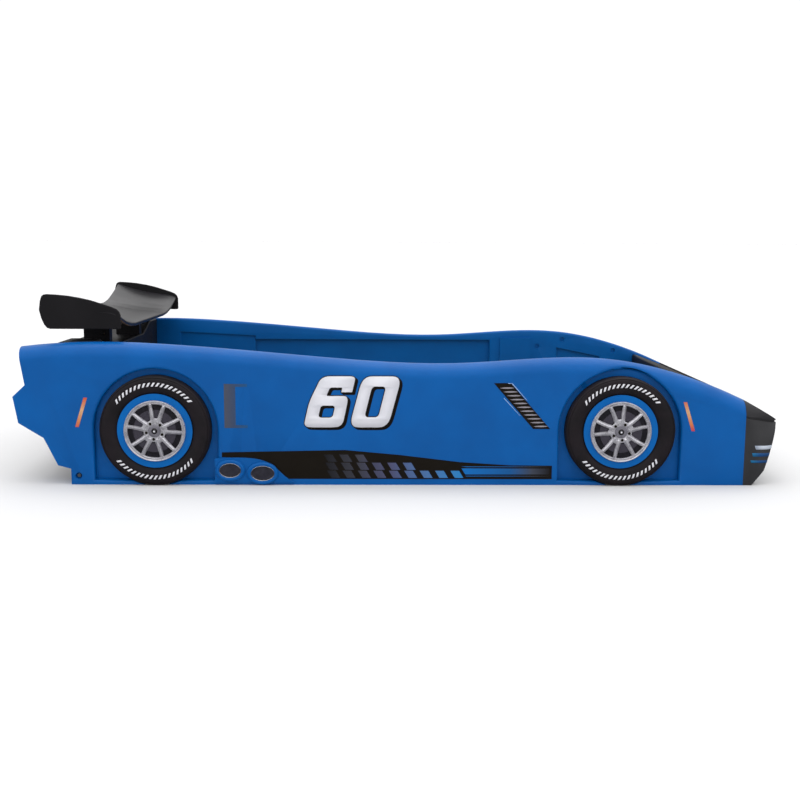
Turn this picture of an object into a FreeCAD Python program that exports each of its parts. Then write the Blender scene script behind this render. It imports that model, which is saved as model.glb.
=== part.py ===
import FreeCAD, Part
import math
import os
import re

import Sketcher
from FreeCAD import Placement, Rotation, Vector

# A low car-shaped bed for a standard single mattress: two hollow moulded side panels, a tail moulding with a
# wing, a nose in two mouldings, four mock wheels, and a slatted base on steel rails. Millimetres, +X to the
# nose, +Y to the car's left, +Z up, origin on the floor under the middle of the bounding box. The right-hand
# pieces are drawn, and the left-hand ones are their mirror images.

SIZES = [
    # mattress bay
    ("bay_width", 985, "between the inner faces of the side panels"),
    ("bay_length", 1930, "headboard face to front wall"),
    ("hole_gap", 0.3, "left round a shank in its hole"),
    ("moulding_wall", 4, "wall of the hollow mouldings"),
    # side panel outline, seen from the side
    ("panel_thickness", 57, "outer face to inner face"),
    ("shoulder_radius", 46, "rolled outer edge along the crest"),
    ("lip_radius", 9, "inner edge along the crest"),
    ("nose_length", 117, "front wall to the panels' front ends"),
    ("nose_seam_z", 268, "crest height at the front end"),
    ("foot_back", 59, "rear end of the panel's foot, behind the headboard face"),
    ("foot_rear_z", 50, "top of the foot's rear end"),
    ("diffuser_low_back", 99, "lower corner of the sweep above the foot, behind the headboard face"),
    ("diffuser_low_z", 61, "height of that corner"),
    ("diffuser_high_back", 140, "upper corner of the sweep"),
    ("diffuser_high_z", 147, "height of that corner"),
    ("tail_low_back", 216, "corner under the tail tip"),
    ("tail_low_z", 194, "height of that corner"),
    ("tail_tip_back", 230, "rearmost point"),
    ("tail_tip_z", 276, "height of that point"),
    ("tail_notch_back", 191, "notch above the tail tip"),
    ("tail_notch_z", 312, "height of the notch"),
    ("tail_top_back", 209, "rear end of the crest"),
    ("tail_top_z", 428, "crest height at the rear end"),
    ("crest_a_back", 48, "pull point a, behind the headboard face"),
    ("crest_a_z", 449, "pull point a, behind the rear wheel"),
    ("crest_b_x", -712, "pull point b"),
    ("rear_crest_rise", 96, "pull point b above the top of the rear tyre"),
    ("crest_c_x", -260, "pull point c"),
    ("crest_c_z", 398, "pull point c, falling to the dip"),
    ("crest_d_x", 191, "pull point d"),
    ("crest_d_z", 363, "pull point d, in the dip where a child climbs in"),
    ("crest_e_x", 643, "pull point e"),
    ("front_crest_rise", 87, "pull point e above the top of the front tyre"),
    ("crest_f_x", 944, "pull point f"),
    ("crest_f_z", 333, "pull point f, falling to the nose"),
    # shapes in the panel's inner face
    ("recess_floor_z", 176, "bottom of the recesses, above the side rail"),
    ("long_recess_rear_x", -569, "rear end of the long recess"),
    ("long_recess_front_x", 381, "front end of the long recess"),
    ("long_recess_drop", 5, "its top below pull point d"),
    ("long_recess_depth", 18, "depth of the long recess"),
    ("rear_recess_rear_x", -870, "rear end of the shallow recess behind it"),
    ("rear_recess_rear_drop", 53, "its rear top below pull point b"),
    ("rear_recess_front_drop", 26, "its front top below pull point c"),
    ("rear_recess_depth", 8, "its depth"),
    ("nose_recess_rear_x", 655, "rear end of the recess towards the nose"),
    ("nose_recess_front_x", 831, "its front end"),
    ("nose_recess_rear_drop", 103, "its rear top below pull point e"),
    ("nose_recess_front_drop", 41, "its front top below pull point f"),
    ("nose_recess_depth", 12, "its depth"),
    ("recess_edge", 3, "softening of the recess rims"),
    ("block_rear_x", 422, "raised block between the recesses"),
    ("block_front_x", 548, "its front end"),
    ("block_drop", 63, "its top below pull point e"),
    ("block_rise", 6, "how far it stands into the bay"),
    ("dimple_radius", 9.5, "moulding dimples near the crest"),
    ("dimple_depth", 6, "their depth"),
    ("dimple_a_x", 574, "first dimple"),
    ("dimple_a_drop", 96, "first dimple below pull point e"),
    ("dimple_b_x", 676, "second dimple"),
    ("dimple_b_drop", 69, "second dimple below pull point e"),
    ("dimple_c_x", 885, "third dimple"),
    ("dimple_c_drop", 15, "third dimple below pull point f"),
    # wheels and their wells
    ("rear_wheel_x", -759, "rear wheel centre"),
    ("front_wheel_x", 688, "front wheel centre"),
    ("tyre_radius", 172, "also the wheel centre's height, as the tyre touches the floor"),
    ("tyre_inner_radius", 116.5, "opening of the tyre"),
    ("tyre_wall", 4, "wall of the open-backed tyre moulding"),
    ("tyre_stand_out", 18, "tyre face beyond the panel face"),
    ("tyre_shoulder", 13, "rounding of the tread edge"),
    ("tyre_gap", 4, "between the tyre and the well round its lower half"),
    ("well_gap", 20, "between the tyre and the arch of the well"),
    ("well_depth", 24, "depth of the well in the panel"),
    ("well_foot_z", 14, "where the well's upright sides end"),
    ("well_edge", 9, "softened rim of the well"),
    ("disc_set_back", 8, "wheel disc behind the tyre face"),
    ("disc_gap", 0.5, "between the disc's skirt and the tyre"),
    ("trim_radius", 95.5, "wheel trim"),
    ("trim_thickness", 5, "plate of the trim"),
    ("trim_band", 11, "width of the trim's outer ring"),
    ("trim_hub_radius", 32, "centre of the trim"),
    ("spoke_width", 9, "width of each of the ten spokes"),
    ("spoke_spread", 14.7, "angle of a spoke from the middle of its pair, in degrees"),
    ("lug_circle", 24, "radius of the circle of lug holes"),
    ("lug_radius", 3.6, "lug hole"),
    ("front_trim_turn", 24.5, "turn of the front trim, in degrees"),
    ("rear_trim_turn", 13, "turn of the rear trim, in degrees"),
    # tail moulding
    ("deck_drop", 8, "deck beside the panels, below pull point a"),
    ("deck_dish", 38, "how far the deck dips in the middle"),
    ("deck_mid_half", 255, "half width of the deck's flat middle"),
    ("deck_side_half", 370, "where the deck's slope ends at the sides"),
    ("deck_bend_back", 93, "where the deck turns down, behind the headboard face"),
    ("deck_rear_back", 181, "rear edge of the deck"),
    ("deck_fall", 33, "how far the deck falls to its rear edge"),
    ("fascia_set_back", 11, "rear fascia inside the panels' outline"),
    ("deck_edge", 6, "softened edges of the deck"),
    # wing
    ("wing_half_width", 478, "outer face of the fins"),
    ("fin_thickness", 8, "thickness of a fin"),
    ("fin_rear_back", 160, "rear end of the fin, behind the headboard face"),
    ("fin_front_ahead", 92, "front end of the fin, ahead of the headboard face"),
    ("fin_bottom_rise", 77, "bottom of the fin above the dished deck"),
    ("fin_rear_rise", 185, "top of the fin at the rear, above the dished deck"),
    ("fin_front_rise", 139, "top of the fin at the front, above the dished deck"),
    ("blade_rear_back", 144, "rear edge of the blade, behind the headboard face"),
    ("blade_front_ahead", 85, "front lip of the blade, ahead of the headboard face"),
    ("blade_thickness", 15, "thickness of the blade"),
    ("blade_rear_rise", 118, "rear edge in the middle, above the dished deck"),
    ("blade_front_rise", 84, "front lip in the middle, above the dished deck"),
    ("blade_flat_half", 236, "half width of the blade's level middle"),
    ("blade_turn_half", 384, "where the blade is half way up to the fin"),
    ("blade_turn_rear_rise", 153, "rear edge there, above the dished deck"),
    ("blade_turn_front_rise", 100, "front lip there, above the dished deck"),
    ("post_inner_y", 200, "inner face of a wing post"),
    ("post_thickness", 36, "across the post"),
    ("post_rear_back", 91, "rear of the post, behind the headboard face"),
    ("post_front_back", 5, "front of the post, behind the headboard face"),
    ("post_bolt_inset", 22, "bolt through the post, behind its front"),
    ("post_bolt_rise", 44, "bolt above the dished deck"),
    # nose mouldings
    ("hood_rear_drop", 27, "hood at the mattress end, below pull point f"),
    ("hood_front_drop", 6, "hood at the nose seam, below the crest"),
    ("hood_edge", 8, "rounding of the hood's rear edge"),
    ("bumper_brow_reach", 105, "front of the bumper's top slope, ahead of the seam"),
    ("bumper_brow_drop", 61, "height there, below the crest at the seam"),
    ("bumper_face_reach", 113, "most forward line of the bumper"),
    ("bumper_face_drop", 76, "height there, below the crest at the seam"),
    ("bumper_chin_reach", 66, "where the face turns under"),
    ("bumper_chin_z", 48, "height there"),
    ("bumper_foot_reach", 28, "bumper at the floor"),
    ("bumper_corner", 62, "rounding of the bumper's corners, seen from above"),
    # exhaust tips
    ("exhaust_rear_x", -529, "rear tip"),
    ("exhaust_rear_z", 47, "its centre height"),
    ("exhaust_rear_half_length", 34, "its half length"),
    ("exhaust_rear_half_height", 23, "its half height"),
    ("exhaust_front_x", -428, "front tip"),
    ("exhaust_front_z", 38, "its centre height"),
    ("exhaust_front_half_length", 37, "its half length"),
    ("exhaust_front_half_height", 24, "its half height"),
    ("exhaust_rim", 4, "rim of a tip"),
    ("exhaust_stand_out", 6, "tip beyond the panel face"),
    ("exhaust_pocket", 10, "pocket that a tip sits in"),
    # mattress base
    ("rail_top_z", 132, "top of the side rails, under the slats"),
    ("rail_drop", 40, "upright leg of the rail"),
    ("rail_reach", 32, "level leg of the rail"),
    ("rail_steel", 2.5, "thickness of the rail"),
    ("rail_end_gap", 8, "between the rail and the end walls"),
    ("slat_thickness", 18, "thickness of a slat"),
    ("slat_width", 90, "width of a slat"),
    ("slat_side_gap", 3, "between a slat's end and the panel"),
    ("slat_end_gap", 30, "between the end slats and the end walls"),
    ("slat_screw_inset", 20, "screw from the slat's end"),
    ("slat_screw_sink", 3, "a slat screw's seat under the slat's top"),
    ("beam_width", 40, "centre beam across"),
    ("beam_height", 30, "centre beam upright"),
    ("beam_wall", 2, "wall of the beam tube"),
    ("beam_end_gap", 6, "between the beam and the end walls"),
    ("leg_radius", 16, "centre leg tube"),
    ("leg_wall", 2, "wall of the leg tube"),
    ("leg_pitch", 620, "between the centre legs"),
    ("foot_radius", 22, "plastic foot under a leg"),
    ("foot_height", 14, "height of the foot"),
    ("foot_socket", 8, "how far the leg sits into its foot"),
    ("foot_fit", 0.4, "round the leg in its foot"),
    ("bracket_length", 60, "level leg of the beam bracket"),
    ("bracket_drop", 50, "upright leg of the beam bracket"),
    ("bracket_width", 60, "across the beam bracket"),
    ("bracket_steel", 3, "thickness of the bracket"),
    # fasteners
    ("bolt_radius", 4, "shank of the bolts"),
    ("bolt_head_radius", 7.5, "head of the bolts"),
    ("bolt_head", 4.5, "height of a bolt head"),
    ("screw_radius", 2.2, "shank of the screws"),
    ("screw_head_radius", 4.4, "head of the screws"),
    ("screw_head", 2.2, "height of a screw head"),
    ("boss_radius", 13, "solid plastic round a hole in the hollow panel"),
    ("bolt_bite", 24, "how far a bolt goes into the panel"),
    ("screw_bite", 18, "how far a screw goes into plastic"),
    ("tail_bolt_inset", 23, "recessed bolt, ahead of the foot's rear end"),
    ("tail_bolt_z", 28, "height of that bolt"),
    ("tail_bolt_sink", 10, "depth of its recess"),
    ("tail_bolt_recess", 10.5, "radius of its recess"),
    ("rail_bolt_pitch", 430, "between the rail bolts"),
    ("rear_screw_back", 67, "screws from the tail into the panel, behind the headboard face"),
    ("rear_screw_low_z", 150, "lower one"),
    ("rear_screw_high_z", 330, "upper one"),
    ("front_screw_ahead", 65, "screws from the hood into the panel, ahead of the front wall"),
    ("front_screw_low_z", 60, "lower one"),
    ("front_screw_high_z", 190, "upper one"),
    ("bumper_screw_y", 400, "outer screws from the hood into the bumper"),
    ("bumper_screw_inner_y", 150, "inner screws from the hood into the bumper"),
    ("bumper_screw_z", 110, "height of those screws"),
    # decals
    ("decal_film", 0.5, "thickness of the printed decals"),
    ("number_x", -148, "middle of the race number"),
    ("number_z", 263, "middle of the race number"),
    ("digit_width", 128, "one digit, across"),
    ("digit_height", 162, "one digit, upright"),
    ("digit_step", 142, "from one digit to the next"),
    ("digit_slant", 38, "lean of a digit over its height"),
    ("stripe_rear_x", -555, "rear end of the sill stripe"),
    ("stripe_front_x", 477, "front end of the sill stripe"),
    ("stripe_low_z", 19, "bottom of the stripe"),
    ("stripe_front_z", 62, "top of the stripe at the front"),
    ("stripe_crown_x", -172, "highest point of the stripe"),
    ("stripe_crown_z", 111, "height of that point"),
    ("stripe_rear_z", 103, "top of the stripe at the rear"),
    ("stripe_tail_z", 88, "bottom of the stripe at the rear"),
    ("stripe_hook_x", -452, "where its lower edge starts to fall"),
    ("stripe_hook_z", 81, "height there"),
    ("stripe_heel_x", -375, "where its lower edge nears the bottom"),
    ("stripe_heel_z", 40, "height there"),
    ("vent_rear_x", 290, "upper rear corner of the vent"),
    ("vent_top_z", 323, "top of the vent"),
    ("vent_low_z", 179, "bottom of the vent"),
    ("vent_width", 53, "width of the vent"),
    ("vent_lean", 125, "lean of the vent over its height"),
    ("mark_rear_x", -545, "rear edge of the door mark"),
    ("mark_front_x", -510, "front edge of its upright"),
    ("mark_arm_x", -473, "tips of its arms"),
    ("mark_low_z", 180, "bottom of the door mark"),
    ("mark_top_z", 318, "top of the door mark"),
    ("mark_arm", 9, "thickness of its arms"),
    ("lamp_rear_x", -1006, "lower rear corner of the rear side lamp"),
    ("lamp_front_x", 923, "lower front corner of the front side lamp"),
    ("lamp_low_z", 182, "bottom of the rear side lamp"),
    ("lamp_front_low_z", 173, "bottom of the front side lamp"),
    ("lamp_height", 92, "height of a side lamp"),
    ("lamp_width", 11, "width of a side lamp"),
    ("lamp_lean", 29, "lean of a side lamp over its height"),
    ("glass_margin", 38, "hood left bare round the windscreen decal"),
    ("badge_half", 430, "half width of the bumper decal"),
    ("badge_low_z", 76, "bottom of the bumper decal"),
    ("badge_top_z", 158, "top of the bumper decal"),
]

# Places and heights worked out from the sizes: each is a formula of sizes and of the places above it.
PLACES = [
    ("bay_rear_x", "-bay_length / 2"),
    ("bay_front_x", "bay_length / 2"),
    ("nose_seam_x", "bay_front_x + nose_length"),
    ("foot_rear_x", "bay_rear_x - foot_back"),
    ("diffuser_low_x", "bay_rear_x - diffuser_low_back"),
    ("diffuser_high_x", "bay_rear_x - diffuser_high_back"),
    ("tail_low_x", "bay_rear_x - tail_low_back"),
    ("tail_tip_x", "bay_rear_x - tail_tip_back"),
    ("tail_notch_x", "bay_rear_x - tail_notch_back"),
    ("tail_top_x", "bay_rear_x - tail_top_back"),
    ("crest_a_x", "bay_rear_x - crest_a_back"),
    ("crest_b_z", "2 * tyre_radius + rear_crest_rise"),
    ("crest_e_z", "2 * tyre_radius + front_crest_rise"),
    ("long_recess_top_z", "crest_d_z - long_recess_drop"),
    ("rear_recess_rear_z", "crest_b_z - rear_recess_rear_drop"),
    ("rear_recess_front_z", "crest_c_z - rear_recess_front_drop"),
    ("nose_recess_rear_z", "crest_e_z - nose_recess_rear_drop"),
    ("nose_recess_front_z", "crest_f_z - nose_recess_front_drop"),
    ("block_top_z", "crest_e_z - block_drop"),
    ("dimple_a_z", "crest_e_z - dimple_a_drop"),
    ("dimple_b_z", "crest_e_z - dimple_b_drop"),
    ("dimple_c_z", "crest_f_z - dimple_c_drop"),
    ("deck_side_z", "crest_a_z - deck_drop"),
    ("deck_mid_z", "deck_side_z - deck_dish"),
    ("deck_bend_x", "bay_rear_x - deck_bend_back"),
    ("deck_rear_x", "bay_rear_x - deck_rear_back"),
    ("deck_rear_z", "deck_side_z - deck_fall"),
    ("fin_rear_x", "bay_rear_x - fin_rear_back"),
    ("fin_front_x", "bay_rear_x + fin_front_ahead"),
    ("fin_bottom_z", "deck_mid_z + fin_bottom_rise"),
    ("fin_rear_z", "deck_mid_z + fin_rear_rise"),
    ("fin_front_z", "deck_mid_z + fin_front_rise"),
    ("blade_rear_x", "bay_rear_x - blade_rear_back"),
    ("blade_front_x", "bay_rear_x + blade_front_ahead"),
    ("blade_rear_z", "deck_mid_z + blade_rear_rise"),
    ("blade_front_z", "deck_mid_z + blade_front_rise"),
    ("blade_turn_rear_z", "deck_mid_z + blade_turn_rear_rise"),
    ("blade_turn_front_z", "deck_mid_z + blade_turn_front_rise"),
    ("post_rear_x", "bay_rear_x - post_rear_back"),
    ("post_front_x", "bay_rear_x - post_front_back"),
    ("post_bolt_x", "post_front_x - post_bolt_inset"),
    ("post_bolt_z", "deck_mid_z + post_bolt_rise"),
    ("hood_rear_z", "crest_f_z - hood_rear_drop"),
    ("hood_front_z", "nose_seam_z - hood_front_drop"),
    ("bumper_brow_x", "nose_seam_x + bumper_brow_reach"),
    ("bumper_brow_z", "nose_seam_z - bumper_brow_drop"),
    ("bumper_face_x", "nose_seam_x + bumper_face_reach"),
    ("bumper_face_z", "nose_seam_z - bumper_face_drop"),
    ("bumper_chin_x", "nose_seam_x + bumper_chin_reach"),
    ("bumper_foot_x", "nose_seam_x + bumper_foot_reach"),
    ("tail_bolt_x", "foot_rear_x + tail_bolt_inset"),
    ("rear_screw_x", "bay_rear_x - rear_screw_back"),
    ("front_screw_x", "bay_front_x + front_screw_ahead"),
]

SLAT_COUNT = 12
RAIL_BOLT_COUNT = 5
LEG_COUNT = 3
SPOKE_PAIRS = 5

OUTER = "bay_width / 2 + panel_thickness"
SHOULDER = "min(shoulder_radius; panel_thickness - lip_radius - 2)"
INNER = "bay_width / 2"
WELL_FLOOR = "bay_width / 2 + panel_thickness - well_depth"
TYRE_FACE = "bay_width / 2 + panel_thickness + tyre_stand_out"
DISC_FACE = "bay_width / 2 + panel_thickness + tyre_stand_out - disc_set_back"
SLAT_PITCH = "(bay_front_x - bay_rear_x - 2 * slat_end_gap - slat_width) / %d" % (SLAT_COUNT - 1)
FIRST_SLAT = "bay_rear_x + slat_end_gap + slat_width / 2"
RAIL_MIDDLE = "(bay_front_x + bay_rear_x) / 2"
SCREW_ROW = "bay_width / 2 - slat_side_gap - slat_screw_inset"

os.makedirs("parts", exist_ok=True)
doc = FreeCAD.newDocument("CarBed")
sheet = doc.addObject("Spreadsheet::Sheet", "Sizes")
for row, (alias, size, note) in enumerate(SIZES, 1):
    sheet.set("A%d" % row, alias)
    sheet.set("B%d" % row, str(size))
    sheet.setAlias("B%d" % row, alias)
    sheet.set("C%d" % row, note)
doc.recompute()

ALIAS = re.compile(r"\b(%s)\b" % "|".join(alias for alias, size, note in SIZES))
FORMULAS = {}
for place_name, place_formula in PLACES:
    for known in FORMULAS:
        place_formula = re.sub(r"\b%s\b" % known, FORMULAS[known], place_formula)
    FORMULAS[place_name] = "(%s)" % place_formula
PLACE = re.compile(r"\b(%s)\b" % "|".join(FORMULAS))


# ---------------------------------------------------------------- shared ways of drawing


def spelled_out(formula):
    """The formula with every place written out in sheet names."""
    return PLACE.sub(lambda match: FORMULAS[match.group()], str(formula))


def number(formula):
    """The value of a formula of sizes and places."""
    result = sheet.evalExpression(spelled_out(formula))
    return float(getattr(result, "Value", result))


def bind(thing, name, formula):
    """Tie a property to a formula of sizes and places."""
    thing.setExpression(name, ALIAS.sub(r"Sizes.\1", spelled_out(formula)))


def new_body(label):
    body = doc.addObject("PartDesign::Body", label)
    body.Label = label
    return body


def sketch(body, plane, offset="0"):
    """A sketch on one of the body's origin planes, moved along the plane's normal."""
    flat = body.newObject("Sketcher::SketchObject", body.Name + "_sketch")
    support = [item for item in body.Origin.OriginFeatures if item.Role == plane + "_Plane"][0]
    flat.AttachmentSupport = [(support, "")]
    flat.MapMode = "FlatFace"
    bind(flat, "AttachmentOffset.Base.z", offset)
    return flat


def spot(point):
    return Vector(number(point[0]), number(point[1]), 0)


def pin(flat, shape, which, x=None, y=None):
    """Hold one point of a sketch shape at the formulas x and y."""
    for kind, formula in (("DistanceX", x), ("DistanceY", y)):
        if formula is not None:
            held = flat.addConstraint(Sketcher.Constraint(kind, -1, 1, shape, which, number(formula)))
            bind(flat, "Constraints[%d]" % held, formula)


def join(flat, first, first_end, second, second_end):
    flat.addConstraint(Sketcher.Constraint("Coincident", first, first_end, second, second_end))


def line(flat, start, end):
    return flat.addGeometry(Part.LineSegment(spot(start), spot(end)), False)


def polygon(flat, points):
    """A closed outline of straight sides through points given as pairs of formulas."""
    sides = [line(flat, here, there) for here, there in zip(points, points[1:] + points[:1])]
    for place, side in enumerate(sides):
        join(flat, side, 2, sides[(place + 1) % len(sides)], 1)
        pin(flat, side, 1, *points[place])


def rectangle(flat, x_low, x_high, y_low, y_high):
    polygon(flat, [(x_low, y_low), (x_high, y_low), (x_high, y_high), (x_low, y_high)])


def circle(flat, x, y, radius):
    ring = flat.addGeometry(Part.Circle(spot((x, y)), Vector(0, 0, 1), number(radius)), False)
    pin(flat, ring, 3, x, y)
    held = flat.addConstraint(Sketcher.Constraint("Radius", ring, number(radius)))
    bind(flat, "Constraints[%d]" % held, radius)


def oval(flat, x, y, half_length, half_height):
    """An upright-centred ellipse, long way along the sketch's x."""
    middle = spot((x, y))
    long_end = middle + Vector(number(half_length), 0, 0)
    high_end = middle + Vector(0, number(half_height), 0)
    ring = flat.addGeometry(Part.Ellipse(long_end, high_end, middle), False)
    across = flat.addGeometry(Part.LineSegment(long_end, middle * 2 - long_end), True)
    upright = flat.addGeometry(Part.LineSegment(high_end, middle * 2 - high_end), True)
    flat.addConstraint(Sketcher.Constraint("InternalAlignment:EllipseMajorDiameter", across, ring))
    flat.addConstraint(Sketcher.Constraint("InternalAlignment:EllipseMinorDiameter", upright, ring))
    pin(flat, ring, 3, x, y)
    pin(flat, across, 1, "%s + %s" % (x, half_length), y)
    pin(flat, upright, 1, None, "%s + %s" % (y, half_height))


def arc_between(flat, start, centre, sweep_from, sweep_to):
    """An arc whose ends are joined to other lines; only its centre's y is held, as the ends fix the rest."""
    middle = spot(centre)
    radius = (spot(start) - middle).Length
    ring = Part.Circle(middle, Vector(0, 0, 1), radius)
    arc = flat.addGeometry(Part.ArcOfCircle(ring, sweep_from, sweep_to), False)
    pin(flat, arc, 3, None, centre[1])
    return arc


HALF_TURN = math.pi


def arch(flat, x, y, radius, foot):
    """A half circle on upright sides that end level at the foot."""
    left, right = "%s - (%s)" % (x, radius), "%s + (%s)" % (x, radius)
    top = arc_between(flat, (right, y), (x, y), 0, HALF_TURN)
    sides = [
        line(flat, (left, y), (left, foot)),
        line(flat, (left, foot), (right, foot)),
        line(flat, (right, foot), (right, y)),
    ]
    pin(flat, sides[0], 1, left, y)
    pin(flat, sides[1], 1, left, foot)
    pin(flat, sides[2], 1, right, foot)
    pin(flat, sides[2], 2, right, y)
    join(flat, sides[0], 2, sides[1], 1)
    join(flat, sides[1], 2, sides[2], 1)
    join(flat, sides[2], 2, top, 1)
    join(flat, sides[0], 1, top, 2)


def corner_waste(flat, x, y, radius, across, up):
    """What is cut off to round a square corner at (x, y); across and up say which way the corner points."""
    back_x = "%s - (%s) * (%s)" % (x, across, radius)
    back_y = "%s - (%s) * (%s)" % (y, up, radius)
    angle = {(1, 1): 0, (-1, 1): 0.5, (-1, -1): 1, (1, -1): 1.5}[(across, up)] * HALF_TURN
    level_end, upright_end = (back_x, y), (x, back_y)
    first, second = (upright_end, level_end) if across * up > 0 else (level_end, upright_end)
    arc = arc_between(flat, first, (back_x, back_y), angle, angle + HALF_TURN / 2)
    run_in = line(flat, first, (x, y))
    run_out = line(flat, (x, y), second)
    pin(flat, run_in, 1, *first)
    pin(flat, run_in, 2, x, y)
    pin(flat, run_out, 2, *second)
    join(flat, run_in, 2, run_out, 1)
    join(flat, run_in, 1, arc, 1)
    join(flat, run_out, 2, arc, 2)


def inset_points(points, inset):
    """The outline's points moved inwards by a formula, each corner along its mitre."""
    spots = [spot(point) for point in points]
    area = sum(a.x * b.y - b.x * a.y for a, b in zip(spots, spots[1:] + spots[:1]))
    turn = 1 if area > 0 else -1
    moved = []
    for place, (x, y) in enumerate(points):
        before = (spots[place] - spots[place - 1]).normalize()
        after = (spots[(place + 1) % len(spots)] - spots[place]).normalize()
        normals = [Vector(-side.y * turn, side.x * turn, 0) for side in (before, after)]
        mitre = (normals[0] + normals[1]) * (1 / (1 + normals[0].dot(normals[1])))
        moved.append(("%s + (%.4f) * (%s)" % (x, mitre.x, inset), "%s + (%.4f) * (%s)" % (y, mitre.y, inset)))
    return moved


def pad(body, flat, length, middle=False, back=False):
    feature = body.newObject("PartDesign::Pad", body.Name + "_pad")
    feature.Profile = flat
    bind(feature, "Length", length)
    feature.Midplane = middle
    feature.Reversed = back
    body.Tip = feature
    doc.recompute()
    return feature


def pocket(body, flat, depth=None, back=False, middle=False):
    """Cut a sketch into the body; the volume must go down, or the cut pointed the wrong way."""
    before = body.Tip.Shape.Volume
    feature = body.newObject("PartDesign::Pocket", body.Name + "_pocket")
    feature.Profile = flat
    if depth is None:
        feature.Type = 1
    else:
        bind(feature, "Length", depth)
    feature.Midplane = middle
    feature.Reversed = back
    body.Tip = feature
    doc.recompute()
    if feature.Shape.isNull() or not feature.Shape.Volume < before - 1e-3:
        raise ValueError("the cut %s removed nothing" % feature.Name)
    return feature


def turned(body, flat):
    """A full turn of a sketch about the upright axis of its own plane."""
    feature = body.newObject("PartDesign::Revolution", body.Name + "_turn")
    feature.Profile = flat
    feature.ReferenceAxis = (flat, ["V_Axis"])
    feature.Angle = 360
    body.Tip = feature
    doc.recompute()
    return feature


def soften(body, radius, wanted):
    """Round the edges of the body that the test picks out."""
    base = body.Tip
    edges = ["Edge%d" % place for place, edge in enumerate(base.Shape.Edges, 1) if wanted(edge)]
    if not edges:
        raise ValueError("no edge to round on %s" % body.Name)
    feature = body.newObject("PartDesign::Fillet", body.Name + "_round")
    feature.Base = (base, edges)
    bind(feature, "Radius", radius)
    body.Tip = feature
    doc.recompute()
    return feature


def ring_pattern(body, features, axis, count):
    feature = body.newObject("PartDesign::PolarPattern", body.Name + "_ring")
    feature.Originals = features
    feature.Axis = axis
    feature.Angle = 360
    feature.Occurrences = count
    body.Tip = feature
    doc.recompute()
    return feature


def shell(label, outside, inside):
    cut = doc.addObject("Part::Cut", label)
    cut.Label = label
    cut.Base = outside
    cut.Tool = inside
    return cut


def mirrored(label, source):
    """The left-hand twin of a right-hand piece."""
    twin = doc.addObject("Part::Mirroring", label)
    twin.Label = label
    twin.Source = source
    twin.Normal = Vector(0, 1, 0)
    return twin


def group(label, placed):
    """One node of identical pieces: each entry is the piece, its x, y and z, and the turn that aims it."""
    links = []
    for piece, x, y, z, turn in placed:
        link = doc.addObject("App::Link", label + "_piece")
        link.LinkedObject = piece
        link.Placement = Placement(Vector(0, 0, 0), turn)
        for name, formula in (("x", x), ("y", y), ("z", z)):
            bind(link, "Placement.Base." + name, formula)
        links.append(link)
    gathered = doc.addObject("Part::Compound", label)
    gathered.Label = label
    gathered.Links = links
    return gathered


def sample(edge):
    """Five points along an edge."""
    first, last = edge.ParameterRange
    return [edge.valueAt(first + (last - first) * step / 4) for step in range(5)]


def on_level(edge, level, slack=0.05):
    """Whether the edge lies in the upright plane at this y."""
    return all(abs(place.y - level) < slack for place in sample(edge))


# ---------------------------------------------------------------- side panels


CREST = [
    ("tail_top_x", "tail_top_z"),
    ("crest_a_x", "crest_a_z"),
    ("crest_b_x", "crest_b_z"),
    ("crest_c_x", "crest_c_z"),
    ("crest_d_x", "crest_d_z"),
    ("crest_e_x", "crest_e_z"),
    ("crest_f_x", "crest_f_z"),
    ("nose_seam_x", "nose_seam_z"),
]
PANEL_CORNERS = [
    ("nose_seam_x", "0"),
    ("foot_rear_x", "0"),
    ("foot_rear_x", "foot_rear_z"),
    ("diffuser_low_x", "diffuser_low_z"),
    ("diffuser_high_x", "diffuser_high_z"),
    ("tail_low_x", "tail_low_z"),
    ("tail_tip_x", "tail_tip_z"),
    ("tail_notch_x", "tail_notch_z"),
]


def crest_curve(flat, poles):
    """A smooth curve pulled towards its inner poles, from the first pole to the last."""
    spots = [spot(pole) for pole in poles]
    curve = Part.BSplineCurve()
    degree = 3
    inner = len(poles) - degree
    knots = list(range(inner + 1))
    repeats = [degree + 1] + [1] * (inner - 1) + [degree + 1]
    curve.buildFromPolesMultsKnots(spots, repeats, knots, False, degree)
    shape = flat.addGeometry(curve, False)
    markers = [flat.addGeometry(Part.Circle(place, Vector(0, 0, 1), 10), True) for place in spots]
    flat.addConstraint(Sketcher.Constraint("Weight", markers[0], 1.0))
    for marker in markers[1:]:
        flat.addConstraint(Sketcher.Constraint("Equal", markers[0], marker))
    for place, marker in enumerate(markers):
        kind = "InternalAlignment:Sketcher::BSplineControlPoint"
        flat.addConstraint(Sketcher.Constraint(kind, marker, 3, shape, place))
        pin(flat, marker, 3, *poles[place])


def wheel_well(body, centre_x, inset):
    """The arch round one wheel and the closer cut round the tyre's lower half."""
    face = "%s - (%s)" % (OUTER, inset)
    flat = sketch(body, "XZ", face)
    arch_radius = "tyre_radius + well_gap + (%s)" % inset
    arch(flat, centre_x, "tyre_radius", arch_radius, "well_foot_z - (%s)" % inset)
    pocket(body, flat, "well_depth")
    flat = sketch(body, "XZ", face)
    circle(flat, centre_x, "tyre_radius", "tyre_radius + tyre_gap + (%s)" % inset)
    pocket(body, flat, "well_depth")


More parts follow.
